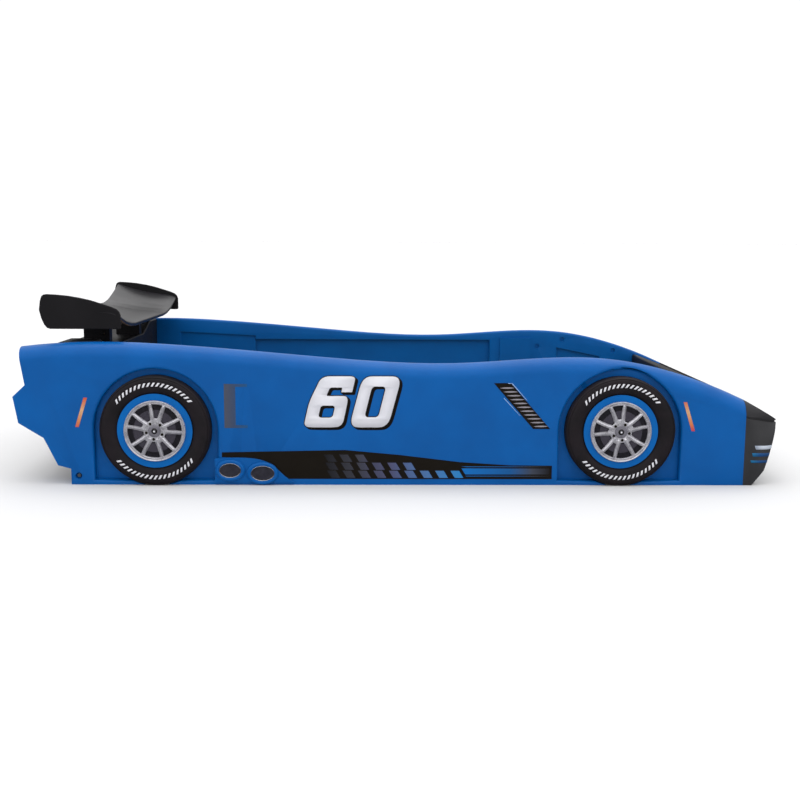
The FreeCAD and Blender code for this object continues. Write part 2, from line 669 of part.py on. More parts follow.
def inner_recess(body, inset, rear_x, front_x, rear_z, front_z, depth):
    """A recess in the panel's inner face, with a level floor and a top that may slope."""
    flat = sketch(body, "XZ", "%s + (%s)" % (INNER, inset))
    left, right = "%s - (%s)" % (rear_x, inset), "%s + (%s)" % (front_x, inset)
    floor = "recess_floor_z - (%s)" % inset
    corners = [(left, floor), (right, floor), (right, "%s + (%s)" % (front_z, inset))]
    polygon(flat, corners + [(left, "%s + (%s)" % (rear_z, inset))])
    pocket(body, flat, depth, back=True)


def inner_recesses(body, inset):
    inner_recess(body, inset, "long_recess_rear_x", "long_recess_front_x", "long_recess_top_z",
                 "long_recess_top_z", "long_recess_depth")
    inner_recess(body, inset, "rear_recess_rear_x", "long_recess_rear_x", "rear_recess_rear_z",
                 "rear_recess_front_z", "rear_recess_depth")
    inner_recess(body, inset, "nose_recess_rear_x", "nose_recess_front_x", "nose_recess_rear_z",
                 "nose_recess_front_z", "nose_recess_depth")


def panel_block(label, inset):
    """The panel's outline as a solid with its rolled crest, wells and recesses, shrunk by the inset."""
    body = new_body(label)
    flat = sketch(body, "XZ", "%s + (%s)" % (INNER, inset))
    points = inset_points(PANEL_CORNERS + CREST, inset)
    corners, poles = points[:len(PANEL_CORNERS)], points[len(PANEL_CORNERS):]
    sides = [line(flat, here, there) for here, there in zip([poles[-1]] + corners, corners + [poles[0]])]
    for here, there in zip(sides, sides[1:]):
        join(flat, here, 2, there, 1)
    for side, start in zip(sides, [poles[-1]] + corners):
        pin(flat, side, 1, *start)
    pin(flat, sides[-1], 2, *poles[0])
    crest_curve(flat, poles)
    pad(body, flat, "panel_thickness - 2 * (%s)" % inset)
    crest_length = number("nose_seam_x - tail_top_x") * 0.9
    for place, radius in ((OUTER + " - ", SHOULDER), (INNER + " + ", "lip_radius")):
        level = -number(place + "(%s)" % inset)
        soften(body, "%s - (%s)" % (radius, inset),
               lambda edge: edge.BoundBox.XLength > crest_length and edge.BoundBox.ZMax > 1.1 * number("nose_seam_z")
               and on_level(edge, level))
    for centre_x in ("rear_wheel_x", "front_wheel_x"):
        wheel_well(body, centre_x, inset)
    inner_recesses(body, inset)
    return body


RAIL_BOLTS = ["%s + (%d) * rail_bolt_pitch" % (RAIL_MIDDLE, place - RAIL_BOLT_COUNT // 2)
              for place in range(RAIL_BOLT_COUNT)]
RAIL_BOLT_Z = "rail_top_z - rail_drop / 2"
PANEL_SCREWS = [
    ("rear_screw_x", "rear_screw_low_z"),
    ("rear_screw_x", "rear_screw_high_z"),
    ("front_screw_x", "front_screw_low_z"),
    ("front_screw_x", "front_screw_high_z"),
]
DIMPLES = [("dimple_a_x", "dimple_a_z"), ("dimple_b_x", "dimple_b_z"), ("dimple_c_x", "dimple_c_z")]
WHEELS = [("rear_wheel_x", "rear_trim_turn", "rear"), ("front_wheel_x", "front_trim_turn", "front")]


def hole(body, x, z, radius, face, depth, back=False):
    """A round hole or boss clearance square to the panel, starting at the given face."""
    flat = sketch(body, "XZ", face)
    circle(flat, x, z, radius)
    pocket(body, flat, depth, back=back)


def side_panel():
    """The right panel: a hollow moulding with solid plastic left round its holes."""
    outside = panel_block("panel_outside", "0")
    rear_arch = number("tyre_radius + well_gap")
    level = -number(OUTER)

    def on_arch(edge):
        box = edge.BoundBox
        if not on_level(edge, level) or box.ZMin < number("well_foot_z") - 0.1:
            return False
        for centre_x in ("rear_wheel_x", "front_wheel_x"):
            reach = max(abs(box.XMin - number(centre_x)), abs(box.XMax - number(centre_x)))
            if abs(reach - rear_arch) < 0.1:
                return True
        return False

    soften(outside, "well_edge", on_arch)
    flat = sketch(outside, "XZ", INNER)
    rectangle(flat, "block_rear_x", "block_front_x", "recess_floor_z", "block_top_z")
    pad(outside, flat, "block_rise", back=True)
    inner_level = -number(INNER)
    floor, top = number("recess_floor_z"), number("rear_recess_rear_z")
    rear, front = number("rear_recess_rear_x"), number("nose_recess_front_x")

    def on_recess_rim(edge):
        box = edge.BoundBox
        inside = box.ZMin > floor - 0.1 and box.ZMax < top + 0.1 and box.XMin > rear - 0.1 and box.XMax < front + 0.1
        block = box.XMin > number("block_rear_x") - 0.1 and box.XMax < number("block_front_x") + 0.1
        return inside and not block and on_level(edge, inner_level)

    soften(outside, "recess_edge", on_recess_rim)
    for x, z in DIMPLES:
        hole(outside, x, z, "dimple_radius", INNER, "dimple_depth", back=True)
    for tip in ("exhaust_rear", "exhaust_front"):
        flat = sketch(outside, "XZ", OUTER)
        oval(flat, tip + "_x", tip + "_z", tip + "_half_length + hole_gap", tip + "_half_height + hole_gap")
        pocket(outside, flat, "exhaust_pocket")
    hole(outside, "tail_bolt_x", "tail_bolt_z", "tail_bolt_recess", OUTER, "tail_bolt_sink")
    hole(outside, "tail_bolt_x", "tail_bolt_z", "bolt_radius + hole_gap", OUTER, "panel_thickness + 1")
    for x in RAIL_BOLTS:
        hole(outside, x, RAIL_BOLT_Z, "bolt_radius + hole_gap", INNER, "bolt_bite + 1", back=True)
    for x, z in PANEL_SCREWS:
        hole(outside, x, z, "screw_radius + hole_gap", INNER, "screw_bite + 1", back=True)
    for x, turn, end in WHEELS:
        hole(outside, x, "tyre_radius", "bolt_radius + hole_gap", WELL_FLOOR, "bolt_bite + 1")

    hollow = panel_block("panel_hollow", "moulding_wall")
    solid_spots = [(x, RAIL_BOLT_Z) for x in RAIL_BOLTS] + PANEL_SCREWS + DIMPLES
    solid_spots += [("tail_bolt_x", "tail_bolt_z")] + [(x, "tyre_radius") for x, turn, end in WHEELS]
    for x, z in solid_spots:
        hole(hollow, x, z, "boss_radius", INNER, "panel_thickness", back=True)
    flat = sketch(hollow, "XZ", OUTER)
    rectangle(flat, "exhaust_rear_x - exhaust_rear_half_length - moulding_wall",
              "exhaust_front_x + exhaust_front_half_length + moulding_wall", "-moulding_wall",
              "exhaust_rear_z + exhaust_rear_half_height + moulding_wall")
    pocket(hollow, flat, "exhaust_pocket + moulding_wall")
    return shell("right_side_panel", outside, hollow)


# ---------------------------------------------------------------- tail and wing


def tail_block(label, inset, floor):
    """The tail between the panels: headboard, deck with a dished middle, and rear fascia."""
    body = new_body(label)
    outline = [
        ("bay_rear_x", floor),
        ("bay_rear_x", "deck_side_z"),
        ("deck_bend_x", "deck_side_z"),
        ("deck_rear_x", "deck_rear_z"),
        ("tail_notch_x + fascia_set_back", "tail_notch_z"),
        ("tail_tip_x + fascia_set_back", "tail_tip_z"),
        ("tail_low_x + fascia_set_back", "tail_low_z"),
        ("diffuser_high_x + fascia_set_back", "diffuser_high_z"),
        ("diffuser_low_x + fascia_set_back", "diffuser_low_z"),
        ("foot_rear_x - fascia_set_back", "foot_rear_z"),
        ("foot_rear_x - fascia_set_back", floor),
    ]
    flat = sketch(body, "XZ")
    polygon(flat, inset_points(outline, inset))
    pad(body, flat, "bay_width - 2 * (%s)" % inset, middle=True)
    flat = sketch(body, "YZ", "tail_tip_x")
    dish = "deck_mid_z - (%s)" % inset
    rim = "deck_side_z - (%s)" % inset
    above = "deck_side_z + deck_edge"
    polygon(flat, [("-deck_side_half", above), ("-deck_side_half", rim), ("-deck_mid_half", dish),
                   ("deck_mid_half", dish), ("deck_side_half", rim), ("deck_side_half", above)])
    pocket(body, flat, "bay_rear_x - tail_tip_x", back=True)
    return body


def tail_body():
    outside = tail_block("tail_outside", "0", "0")
    front, rear = number("bay_rear_x"), number("deck_rear_x")
    low = number("deck_mid_z") - 1

    def on_deck_rim(edge):
        box = edge.BoundBox
        level = box.ZMin > low and box.XLength < 0.1 and (abs(box.XMin - front) < 0.1)
        return level and box.YLength > 1

    soften(outside, "deck_edge", on_deck_rim)
    for side in (1, -1):
        for z in ("rear_screw_low_z", "rear_screw_high_z"):
            flat = sketch(outside, "XZ", "%d * (%s)" % (side, INNER))
            circle(flat, "rear_screw_x", z, "screw_radius + hole_gap")
            pocket(outside, flat, "moulding_wall + 1", back=side < 0)
        flat = sketch(outside, "XZ", "%d * (%s)" % (side, INNER))
        circle(flat, "tail_bolt_x", "tail_bolt_z", "bolt_radius + hole_gap")
        pocket(outside, flat, "moulding_wall + 1", back=side < 0)
        flat = sketch(outside, "YZ", "bay_rear_x")
        circle(flat, "%d * bracket_width / 3" % side, BRACKET_SCREW_Z, "screw_radius + hole_gap")
        pocket(outside, flat, "moulding_wall + 1")
    hollow = tail_block("tail_hollow", "moulding_wall", "-2 * moulding_wall")
    return shell("tail_body", outside, hollow)


def blade_section(body, y, rear_z, front_z):
    """One section of the wing's blade, in the plane at this distance to the right of the middle."""
    flat = sketch(body, "XZ", y)
    middle_x = "(blade_rear_x + blade_front_x) / 2"
    middle_z = "(%s + %s) / 2" % (rear_z, front_z)
    polygon(flat, [
        ("blade_rear_x", rear_z),
        ("blade_rear_x", "%s - blade_thickness / 2" % rear_z),
        (middle_x, "%s - blade_thickness" % middle_z),
        ("blade_front_x", "%s - blade_thickness / 2" % front_z),
        ("blade_front_x", front_z),
        (middle_x, middle_z),
    ])
    return flat


def wing():
    """A blade that sweeps up at both ends into upright fins."""
    body = new_body("wing")
    fin_inner = "wing_half_width - fin_thickness"
    stations = [
        ("-blade_flat_half", "blade_rear_z", "blade_front_z"),
        ("blade_flat_half", "blade_rear_z", "blade_front_z"),
    ]
    flat = [blade_section(body, *station) for station in stations]
    middle = body.newObject("PartDesign::AdditiveLoft", "wing_middle")
    middle.Profile = flat[0]
    middle.Sections = [flat[1]]
    middle.Ruled = True
    body.Tip = middle
    doc.recompute()
    ends = [
        ("blade_flat_half", "blade_rear_z", "blade_front_z"),
        ("blade_turn_half", "blade_turn_rear_z", "blade_turn_front_z"),
        (fin_inner + " + fin_thickness / 2", "fin_rear_z - fin_thickness", "fin_front_z - fin_thickness"),
    ]
    for side in ("", "-"):
        flat = [blade_section(body, "%s(%s)" % (side, y), rear_z, front_z) for y, rear_z, front_z in ends]
        sweep = body.newObject("PartDesign::AdditiveLoft", "wing_end")
        sweep.Profile = flat[0]
        sweep.Sections = flat[1:]
        sweep.Ruled = True
        body.Tip = sweep
        doc.recompute()
        fin = sketch(body, "XZ", "%s(%s)" % (side, fin_inner))
        corner = "(fin_rear_z - fin_bottom_z)"
        polygon(fin, [
            ("fin_front_x - 6", "fin_bottom_z"),
            ("fin_front_x", "fin_bottom_z + 6"),
            ("fin_front_x", "fin_front_z - 14"),
            ("fin_front_x - 7", "fin_front_z"),
            ("(fin_front_x + fin_rear_x) / 2 + 15", "fin_rear_z - 0.15 * " + corner),
            ("fin_rear_x + 62", "fin_rear_z - 2"),
            ("fin_rear_x + 14", "fin_rear_z"),
            ("fin_rear_x", "(fin_rear_z + fin_bottom_z) / 2"),
            ("fin_rear_x + 6", "fin_bottom_z + 0.2 * " + corner),
            ("fin_rear_x + 22", "fin_bottom_z"),
        ])
        pad(body, fin, "fin_thickness", back=side == "-")
    return body


def wing_post():
    """A post from the deck's level middle to the underside of the blade."""
    body = new_body("right_wing_post")
    flat = sketch(body, "XZ", "post_inner_y")
    half_chord = "((blade_front_x - blade_rear_x) / 2)"
    middle_x = "((blade_rear_x + blade_front_x) / 2)"
    middle_z = "((blade_rear_z + blade_front_z) / 2 - blade_thickness)"
    rear_z = "(blade_rear_z - blade_thickness / 2)"
    front_z = "(blade_front_z - blade_thickness / 2)"
    rear_top = "%s + (%s - %s) * (%s - post_rear_x) / %s" % (middle_z, rear_z, middle_z, middle_x, half_chord)
    front_top = "%s + (%s - %s) * (post_front_x - %s) / %s" % (middle_z, front_z, middle_z, middle_x, half_chord)
    polygon(flat, [("post_rear_x", "deck_mid_z"), ("post_front_x", "deck_mid_z"), ("post_front_x", front_top),
                   (middle_x, middle_z), ("post_rear_x", rear_top)])
    pad(body, flat, "post_thickness")
    hole(body, "post_bolt_x", "post_bolt_z", "bolt_radius + hole_gap", "post_inner_y + post_thickness",
         "post_thickness + 1")
    return body


# ---------------------------------------------------------------- nose


BRACKET_SCREW_Z = "rail_top_z - beam_height - bracket_steel - 0.6 * bracket_drop"
BUMPER_SCREWS = ["-bumper_screw_y", "-bumper_screw_inner_y", "bumper_screw_inner_y", "bumper_screw_y"]


def hood_block(label, inset, floor):
    body = new_body(label)
    outline = [
        ("bay_front_x", floor),
        ("nose_seam_x", floor),
        ("nose_seam_x", "hood_front_z"),
        ("bay_front_x", "hood_rear_z"),
    ]
    flat = sketch(body, "XZ")
    polygon(flat, inset_points(outline, inset))
    pad(body, flat, "bay_width - 2 * (%s)" % inset, middle=True)
    return body


def hood():
    """The nose between the panels: front wall of the bay and the slope in front of it."""
    outside = hood_block("hood_outside", "0", "0")
    rear, top = number("bay_front_x"), number("hood_rear_z")
    soften(outside, "hood_edge", lambda edge: edge.BoundBox.YLength > 100
           and abs(edge.BoundBox.XMin - rear) < 0.1 and abs(edge.BoundBox.ZMin - top) < 0.1)
    for side in (1, -1):
        for z in ("front_screw_low_z", "front_screw_high_z"):
            flat = sketch(outside, "XZ", "%d * (%s)" % (side, INNER))
            circle(flat, "front_screw_x", z, "screw_radius + hole_gap")
            pocket(outside, flat, "moulding_wall + 1", back=side < 0)
        flat = sketch(outside, "YZ", "bay_front_x")
        circle(flat, "%d * bracket_width / 3" % side, BRACKET_SCREW_Z, "screw_radius + hole_gap")
        pocket(outside, flat, "moulding_wall + 1", back=True)
    flat = sketch(outside, "YZ", "nose_seam_x")
    for y in BUMPER_SCREWS:
        circle(flat, y, "bumper_screw_z", "screw_radius + hole_gap")
    pocket(outside, flat, "moulding_wall + 1")
    hollow = hood_block("hood_hollow", "moulding_wall", "-2 * moulding_wall")
    return shell("hood", outside, hollow)


def bumper_block(label, inset, floor):
    """The nose's front moulding, as wide as the car, with its corners rounded in plan and along the top."""
    body = new_body(label)
    outline = [
        ("nose_seam_x", floor),
        ("bumper_foot_x", floor),
        ("bumper_chin_x", "bumper_chin_z"),
        ("bumper_face_x", "bumper_face_z"),
        ("bumper_brow_x", "bumper_brow_z"),
        ("nose_seam_x", "nose_seam_z"),
    ]
    flat = sketch(body, "XZ")
    polygon(flat, inset_points(outline, inset))
    half_width = "(%s - (%s))" % (OUTER, inset)
    pad(body, flat, "2 * " + half_width, middle=True)
    flat = sketch(body, "XY", "nose_seam_z + 1")
    for side in (1, -1):
        corner_waste(flat, "bumper_face_x - (%s)" % inset, "%d * %s" % (side, half_width),
                     "bumper_corner - (%s)" % inset, 1, side)
    pocket(body, flat, "nose_seam_z + 2 + 2 * moulding_wall")
    flat = sketch(body, "YZ", "nose_seam_x")
    for side in (1, -1):
        corner_waste(flat, "%d * %s" % (side, half_width), "nose_seam_z - (%s)" % inset,
                     SHOULDER + " - (%s)" % inset, side, 1)
    pocket(body, flat, "bumper_face_x - nose_seam_x + 1", back=True)
    return body


def front_bumper():
    outside = bumper_block("bumper_outside", "0", "0")
    flat = sketch(outside, "YZ", "nose_seam_x")
    for y in BUMPER_SCREWS:
        circle(flat, y, "bumper_screw_z", "screw_radius + hole_gap")
    pocket(outside, flat, "moulding_wall + 1", back=True)
    hollow = bumper_block("bumper_hollow", "moulding_wall", "-2 * moulding_wall")
    return shell("front_bumper", outside, hollow)


# ---------------------------------------------------------------- wheels and exhaust


def placed_at_wheel(body, centre_x):
    bind(body, "Placement.Base.x", centre_x)
    bind(body, "Placement.Base.z", "tyre_radius")
    return body


def tyre(label, centre_x):
    """An open-backed ring standing on the floor, with its face outside the panel."""
    body = new_body(label)
    flat = sketch(body, "XY")
    face, seat = "-(%s)" % TYRE_FACE, "-(%s)" % WELL_FLOOR
    polygon(flat, [
        ("tyre_radius", seat),
        ("tyre_radius", face),
        ("tyre_inner_radius", face),
        ("tyre_inner_radius", seat),
        ("tyre_inner_radius + tyre_wall", seat),
        ("tyre_inner_radius + tyre_wall", face + " + tyre_wall"),
        ("tyre_radius - tyre_wall", face + " + tyre_wall"),
        ("tyre_radius - tyre_wall", seat),
    ])
    turned(body, flat)
    level, tread = -number(TYRE_FACE), number("tyre_radius")
    soften(body, "tyre_shoulder", lambda edge: on_level(edge, level) and edge.BoundBox.ZLength > 1.9 * tread)
    return placed_at_wheel(body, centre_x)


def wheel_disc(label, centre_x):
    """A shallow cup inside the tyre that stands on the floor of the well."""
    body = new_body(label)
    flat = sketch(body, "XY")
    face, seat = "-(%s)" % DISC_FACE, "-(%s)" % WELL_FLOOR
    rim = "tyre_inner_radius - disc_gap"
    polygon(flat, [
        ("bolt_radius + hole_gap", face),
        (rim, face),
        (rim, seat),
        (rim + " - tyre_wall", seat),
        (rim + " - tyre_wall", face + " + tyre_wall"),
        ("bolt_radius + hole_gap", face + " + tyre_wall"),
    ])
    turned(body, flat)
    return placed_at_wheel(body, centre_x)


def wheel_trim(label, centre_x, turn):
    """A plate with ten spokes in five pairs between a hub and a ring."""
    body = new_body(label)
    ring_middle = "(trim_radius - trim_band / 2)"
    root = "(trim_hub_radius - spoke_width)"
    flat = sketch(body, "XZ", DISC_FACE)
    circle(flat, "0", "0", "trim_hub_radius")
    pad(body, flat, "trim_thickness")
    spokes = []
    for side in ("", "-"):
        flat = sketch(body, "XZ", DISC_FACE)
        tip_x = "%s * cos(spoke_spread)" % ring_middle
        tip_y = "%s * sin(spoke_spread)" % ring_middle
        inner_low, inner_high = "0.5", "spoke_width + 0.5"
        corners = [(root, inner_low), (tip_x, tip_y + " - spoke_width / 2"),
                   (tip_x, tip_y + " + spoke_width / 2"), (root, inner_high)]
        polygon(flat, [(x, "%s(%s)" % (side, y)) for x, y in corners])
        spokes.append(pad(body, flat, "trim_thickness"))
    ring_pattern(body, spokes, ([item for item in body.Origin.OriginFeatures if item.Role == "Y_Axis"][0], [""]),
                 SPOKE_PAIRS)
    flat = sketch(body, "XZ", DISC_FACE)
    circle(flat, "0", "0", "trim_radius")
    circle(flat, "0", "0", "trim_radius - trim_band")
    pad(body, flat, "trim_thickness")
    flat = sketch(body, "XZ", DISC_FACE + " + trim_thickness")
    circle(flat, "0", "0", "bolt_radius + hole_gap")
    pocket(body, flat, "trim_thickness + 1")
    flat = sketch(body, "XZ", DISC_FACE + " + trim_thickness")
    circle(flat, "-lug_circle", "0", "lug_radius")
    lug = pocket(body, flat, "trim_thickness + 1")
    ring_pattern(body, [lug], ([item for item in body.Origin.OriginFeatures if item.Role == "Y_Axis"][0], [""]),
                 SPOKE_PAIRS)
    bind(body, "Placement.Rotation.Angle", turn)
    body.Placement = Placement(Vector(0, 0, 0), Rotation(Vector(0, -1, 0), number(turn)))
    return placed_at_wheel(body, centre_x)


def exhaust_tip(label, tip):
    """An oval cup in its pocket, open to the outside."""
    body = new_body(label)
    x, z, half_length, half_height = [tip + part for part in ("_x", "_z", "_half_length", "_half_height")]
    flat = sketch(body, "XZ", OUTER + " - exhaust_pocket")
    oval(flat, x, z, half_length, half_height)
    pad(body, flat, "exhaust_pocket + exhaust_stand_out")
    flat = sketch(body, "XZ", OUTER + " + exhaust_stand_out")
    oval(flat, x, z, half_length + " - exhaust_rim", half_height + " - exhaust_rim")
    pocket(body, flat, "exhaust_stand_out + exhaust_pocket / 2")
    return body


def exhaust_tips():
    tips = [exhaust_tip("rear_tip", "exhaust_rear"), exhaust_tip("front_tip", "exhaust_front")]
    return group("right_exhaust_tips", [(tip, "0", "0", "0", Rotation()) for tip in tips])


# ---------------------------------------------------------------- mattress base


def slat_centres():
    return ["%s + %d * (%s)" % (FIRST_SLAT, place, SLAT_PITCH) for place in range(SLAT_COUNT)]


def side_rail():
    """A steel angle bolted along the panel, with its level leg under the slats."""
    body = new_body("right_side_rail")
    flat = sketch(body, "YZ", RAIL_MIDDLE)
    back, top = "-(%s)" % INNER, "rail_top_z"
    polygon(flat, [
        (back, top),
        (back, top + " - rail_drop"),
        (back + " + rail_steel", top + " - rail_drop"),
        (back + " + rail_steel", top + " - rail_steel"),
        (back + " + rail_reach", top + " - rail_steel"),
        (back + " + rail_reach", top),
    ])
    pad(body, flat, "bay_front_x - bay_rear_x - 2 * rail_end_gap", middle=True)
    flat = sketch(body, "XZ", INNER)
    for x in RAIL_BOLTS:
        circle(flat, x, RAIL_BOLT_Z, "bolt_radius + hole_gap")
    pocket(body, flat, "rail_steel + 1")
    flat = sketch(body, "XY", top)
    for x in slat_centres():
        circle(flat, x, "-(%s)" % SCREW_ROW, "screw_radius + hole_gap")
    pocket(body, flat, "rail_steel + 1")
    return body


def slat(label, x):
    body = new_body(label)
    flat = sketch(body, "XY", "rail_top_z")
    end = "(%s - slat_side_gap)" % INNER
    rectangle(flat, "-slat_width / 2", "slat_width / 2", "-" + end, end)
    for side in ("", "-"):
        circle(flat, "0", "%s(%s)" % (side, SCREW_ROW), "screw_radius + hole_gap")
    pad(body, flat, "slat_thickness")
    flat = sketch(body, "XY", "rail_top_z + slat_thickness")
    for side in ("", "-"):
        circle(flat, "0", "%s(%s)" % (side, SCREW_ROW), "screw_head_radius + hole_gap")
    pocket(body, flat, "slat_screw_sink")
    bind(body, "Placement.Base.x", x)
    return body


def centre_beam():
    body = new_body("centre_beam")
    flat = sketch(body, "YZ", RAIL_MIDDLE)
    rectangle(flat, "-beam_width / 2", "beam_width / 2", "rail_top_z - beam_height", "rail_top_z")
    rectangle(flat, "-beam_width / 2 + beam_wall", "beam_width / 2 - beam_wall",
              "rail_top_z - beam_height + beam_wall", "rail_top_z - beam_wall")
    pad(body, flat, "bay_front_x - bay_rear_x - 2 * beam_end_gap", middle=True)
    return body


def beam_bracket(label, wall_x, way):
    """A steel angle on an end wall, with a level leg that the beam rests on."""
    body = new_body(label)
    flat = sketch(body, "XZ")
    seat = "rail_top_z - beam_height"
    inner = "%s + %d * bracket_steel" % (wall_x, way)
    reach = "%s + %d * bracket_length" % (wall_x, way)
    polygon(flat, [
        (wall_x, seat),
        (wall_x, seat + " - bracket_drop"),
        (inner, seat + " - bracket_drop"),
        (inner, seat + " - bracket_steel"),
        (reach, seat + " - bracket_steel"),
        (reach, seat),
    ])
    pad(body, flat, "bracket_width", middle=True)
    flat = sketch(body, "YZ", wall_x)
    for side in (1, -1):
        circle(flat, "%d * bracket_width / 3" % side, BRACKET_SCREW_Z, "screw_radius + hole_gap")
    pocket(body, flat, "bracket_steel + 1", back=way > 0)
    return body


def beam_brackets():
    ends = [beam_bracket("rear_bracket", "bay_rear_x", 1), beam_bracket("front_bracket", "bay_front_x", -1)]
    return group("beam_brackets", [(end, "0", "0", "0", Rotation()) for end in ends])


LEG_X = ["%s + (%d) * leg_pitch" % (RAIL_MIDDLE, place - LEG_COUNT // 2) for place in range(LEG_COUNT)]


def beam_legs():
    """Tubes under the centre beam, each in its foot."""
    leg = new_body("leg")
    flat = sketch(leg, "XY", "foot_height - foot_socket")
    circle(flat, "0", "0", "leg_radius")
    circle(flat, "0", "0", "leg_radius - leg_wall")
    pad(leg, flat, "rail_top_z - beam_height - foot_height + foot_socket")
    return group("beam_legs", [(leg, x, "0", "0", Rotation()) for x in LEG_X])


def leg_feet():
    foot = new_body("foot")
    flat = sketch(foot, "XY")
    circle(flat, "0", "0", "foot_radius")
    pad(foot, flat, "foot_height")
    flat = sketch(foot, "XY", "foot_height")
    circle(flat, "0", "0", "leg_radius + foot_fit")
    pocket(foot, flat, "foot_socket")
    return group("leg_feet", [(foot, x, "0", "0", Rotation()) for x in LEG_X])


# ---------------------------------------------------------------- fasteners


def fastener(label, shank, head, head_height, length):
    """A round-headed fastener along Z: the head's underside at the origin and the shank below it."""
    body = new_body(label)
    flat = sketch(body, "XZ")
    polygon(flat, [("0", head_height), ("0", "-(%s)" % length), (shank, "-(%s)" % length), (shank, "0"),
                   (head, "0"), (head, "0.4 * " + head_height), ("0.7 * " + head, head_height)])
    turned(body, flat)
    return body


def screw(label, length):
    return fastener(label, "screw_radius", "screw_head_radius", "screw_head", length)


def bolt(label, length):
    return fastener(label, "bolt_radius", "bolt_head_radius", "bolt_head", length)


HEAD_UP = Rotation()
HEAD_TO_LEFT = Rotation(Vector(1, 0, 0), -90)
HEAD_TO_RIGHT = Rotation(Vector(1, 0, 0), 90)
HEAD_TO_TAIL = Rotation(Vector(0, 1, 0), -90)
HEAD_TO_NOSE = Rotation(Vector(0, 1, 0), 90)


def both_sides(piece, x, y, z, outwards):
    """A fastener and its twin across the car, with their heads outwards or towards the middle."""
    right, left = (HEAD_TO_RIGHT, HEAD_TO_LEFT) if outwards else (HEAD_TO_LEFT, HEAD_TO_RIGHT)
    return [(piece, x, "-(%s)" % y, z, right), (piece, x, y, z, left)]


def fastener_groups():
    tail_bolt = bolt("tail_bolt", "panel_thickness - tail_bolt_sink + 3 * moulding_wall")
    head_y = OUTER + " - tail_bolt_sink"
    groups = [group("tail_bolts", both_sides(tail_bolt, "tail_bolt_x", head_y, "tail_bolt_z", True))]

    corner_screw = screw("corner_screw", "moulding_wall + screw_bite")
    places = []
    for x, z in PANEL_SCREWS:
        places += both_sides(corner_screw, x, INNER + " - moulding_wall", z, False)
    groups.append(group("corner_screws", places))

    rail_bolt = bolt("rail_bolt", "rail_steel + bolt_bite")
    places = []
    for x in RAIL_BOLTS:
        places += both_sides(rail_bolt, x, INNER + " - rail_steel", RAIL_BOLT_Z, False)
    groups.append(group("rail_bolts", places))

    slat_screw = screw("slat_screw", "slat_thickness - slat_screw_sink + rail_steel + 4")
    seat = "rail_top_z + slat_thickness - slat_screw_sink"
    places = []
    for x in slat_centres():
        for side in ("", "-"):
            places.append((slat_screw, x, "%s(%s)" % (side, SCREW_ROW), seat, HEAD_UP))
    groups.append(group("slat_screws", places))

    bumper_screw = screw("bumper_screw", "2 * moulding_wall + 8")
    places = [(bumper_screw, "nose_seam_x - moulding_wall", y, "bumper_screw_z", HEAD_TO_TAIL)
              for y in BUMPER_SCREWS]
    groups.append(group("bumper_screws", places))

    wing_bolt = bolt("wing_bolt", "post_thickness + 8")
    places = both_sides(wing_bolt, "post_bolt_x", "post_inner_y + post_thickness", "post_bolt_z", True)
    groups.append(group("wing_bolts", places))

    wheel_bolt = bolt("wheel_bolt", "%s + trim_thickness - (%s) + bolt_bite" % (DISC_FACE, WELL_FLOOR))
    places = []
    for x, turn, end in WHEELS:
        places += both_sides(wheel_bolt, x, DISC_FACE + " + trim_thickness", "tyre_radius", True)
    groups.append(group("wheel_bolts", places))

    bracket_screw = screw("bracket_screw", "bracket_steel + moulding_wall + 8")
    places = []
    for side in (1, -1):
        y = "%d * bracket_width / 3" % side
        places.append((bracket_screw, "bay_rear_x + bracket_steel", y, BRACKET_SCREW_Z, HEAD_TO_NOSE))
        places.append((bracket_screw, "bay_front_x - bracket_steel", y, BRACKET_SCREW_Z, HEAD_TO_TAIL))
    groups.append(group("bracket_screws", places))
    return groups


# ---------------------------------------------------------------- decals


def decal(label, outline):
    """A printed film on the panel's outer face."""
    body = new_body(label)
    flat = sketch(body, "XZ", OUTER)
    polygon(flat, outline)
    pad(body, flat, "decal_film")
    return body


def leaning(x, z_low, width, height, lean):
    """A leaning plate from its lower rear corner."""
    top = "%s + %s" % (z_low, height)
    return [(x, z_low), ("%s + %s" % (x, width), z_low), ("%s + %s + %s" % (x, width, lean), top),
            ("%s + %s" % (x, lean), top)]


def number_decal():
    """Two slanting digit plates."""
    plates = []
    low = "number_z - digit_height / 2"
    for place, shift in enumerate(("-digit_step", "0")):
        left = "number_x + (%s) + (digit_step - digit_width) / 2 - digit_slant / 2" % shift
        plates.append(decal("digit_%d" % (place + 1), leaning(left, low, "digit_width", "digit_height",
                                                               "digit_slant")))
    return plates


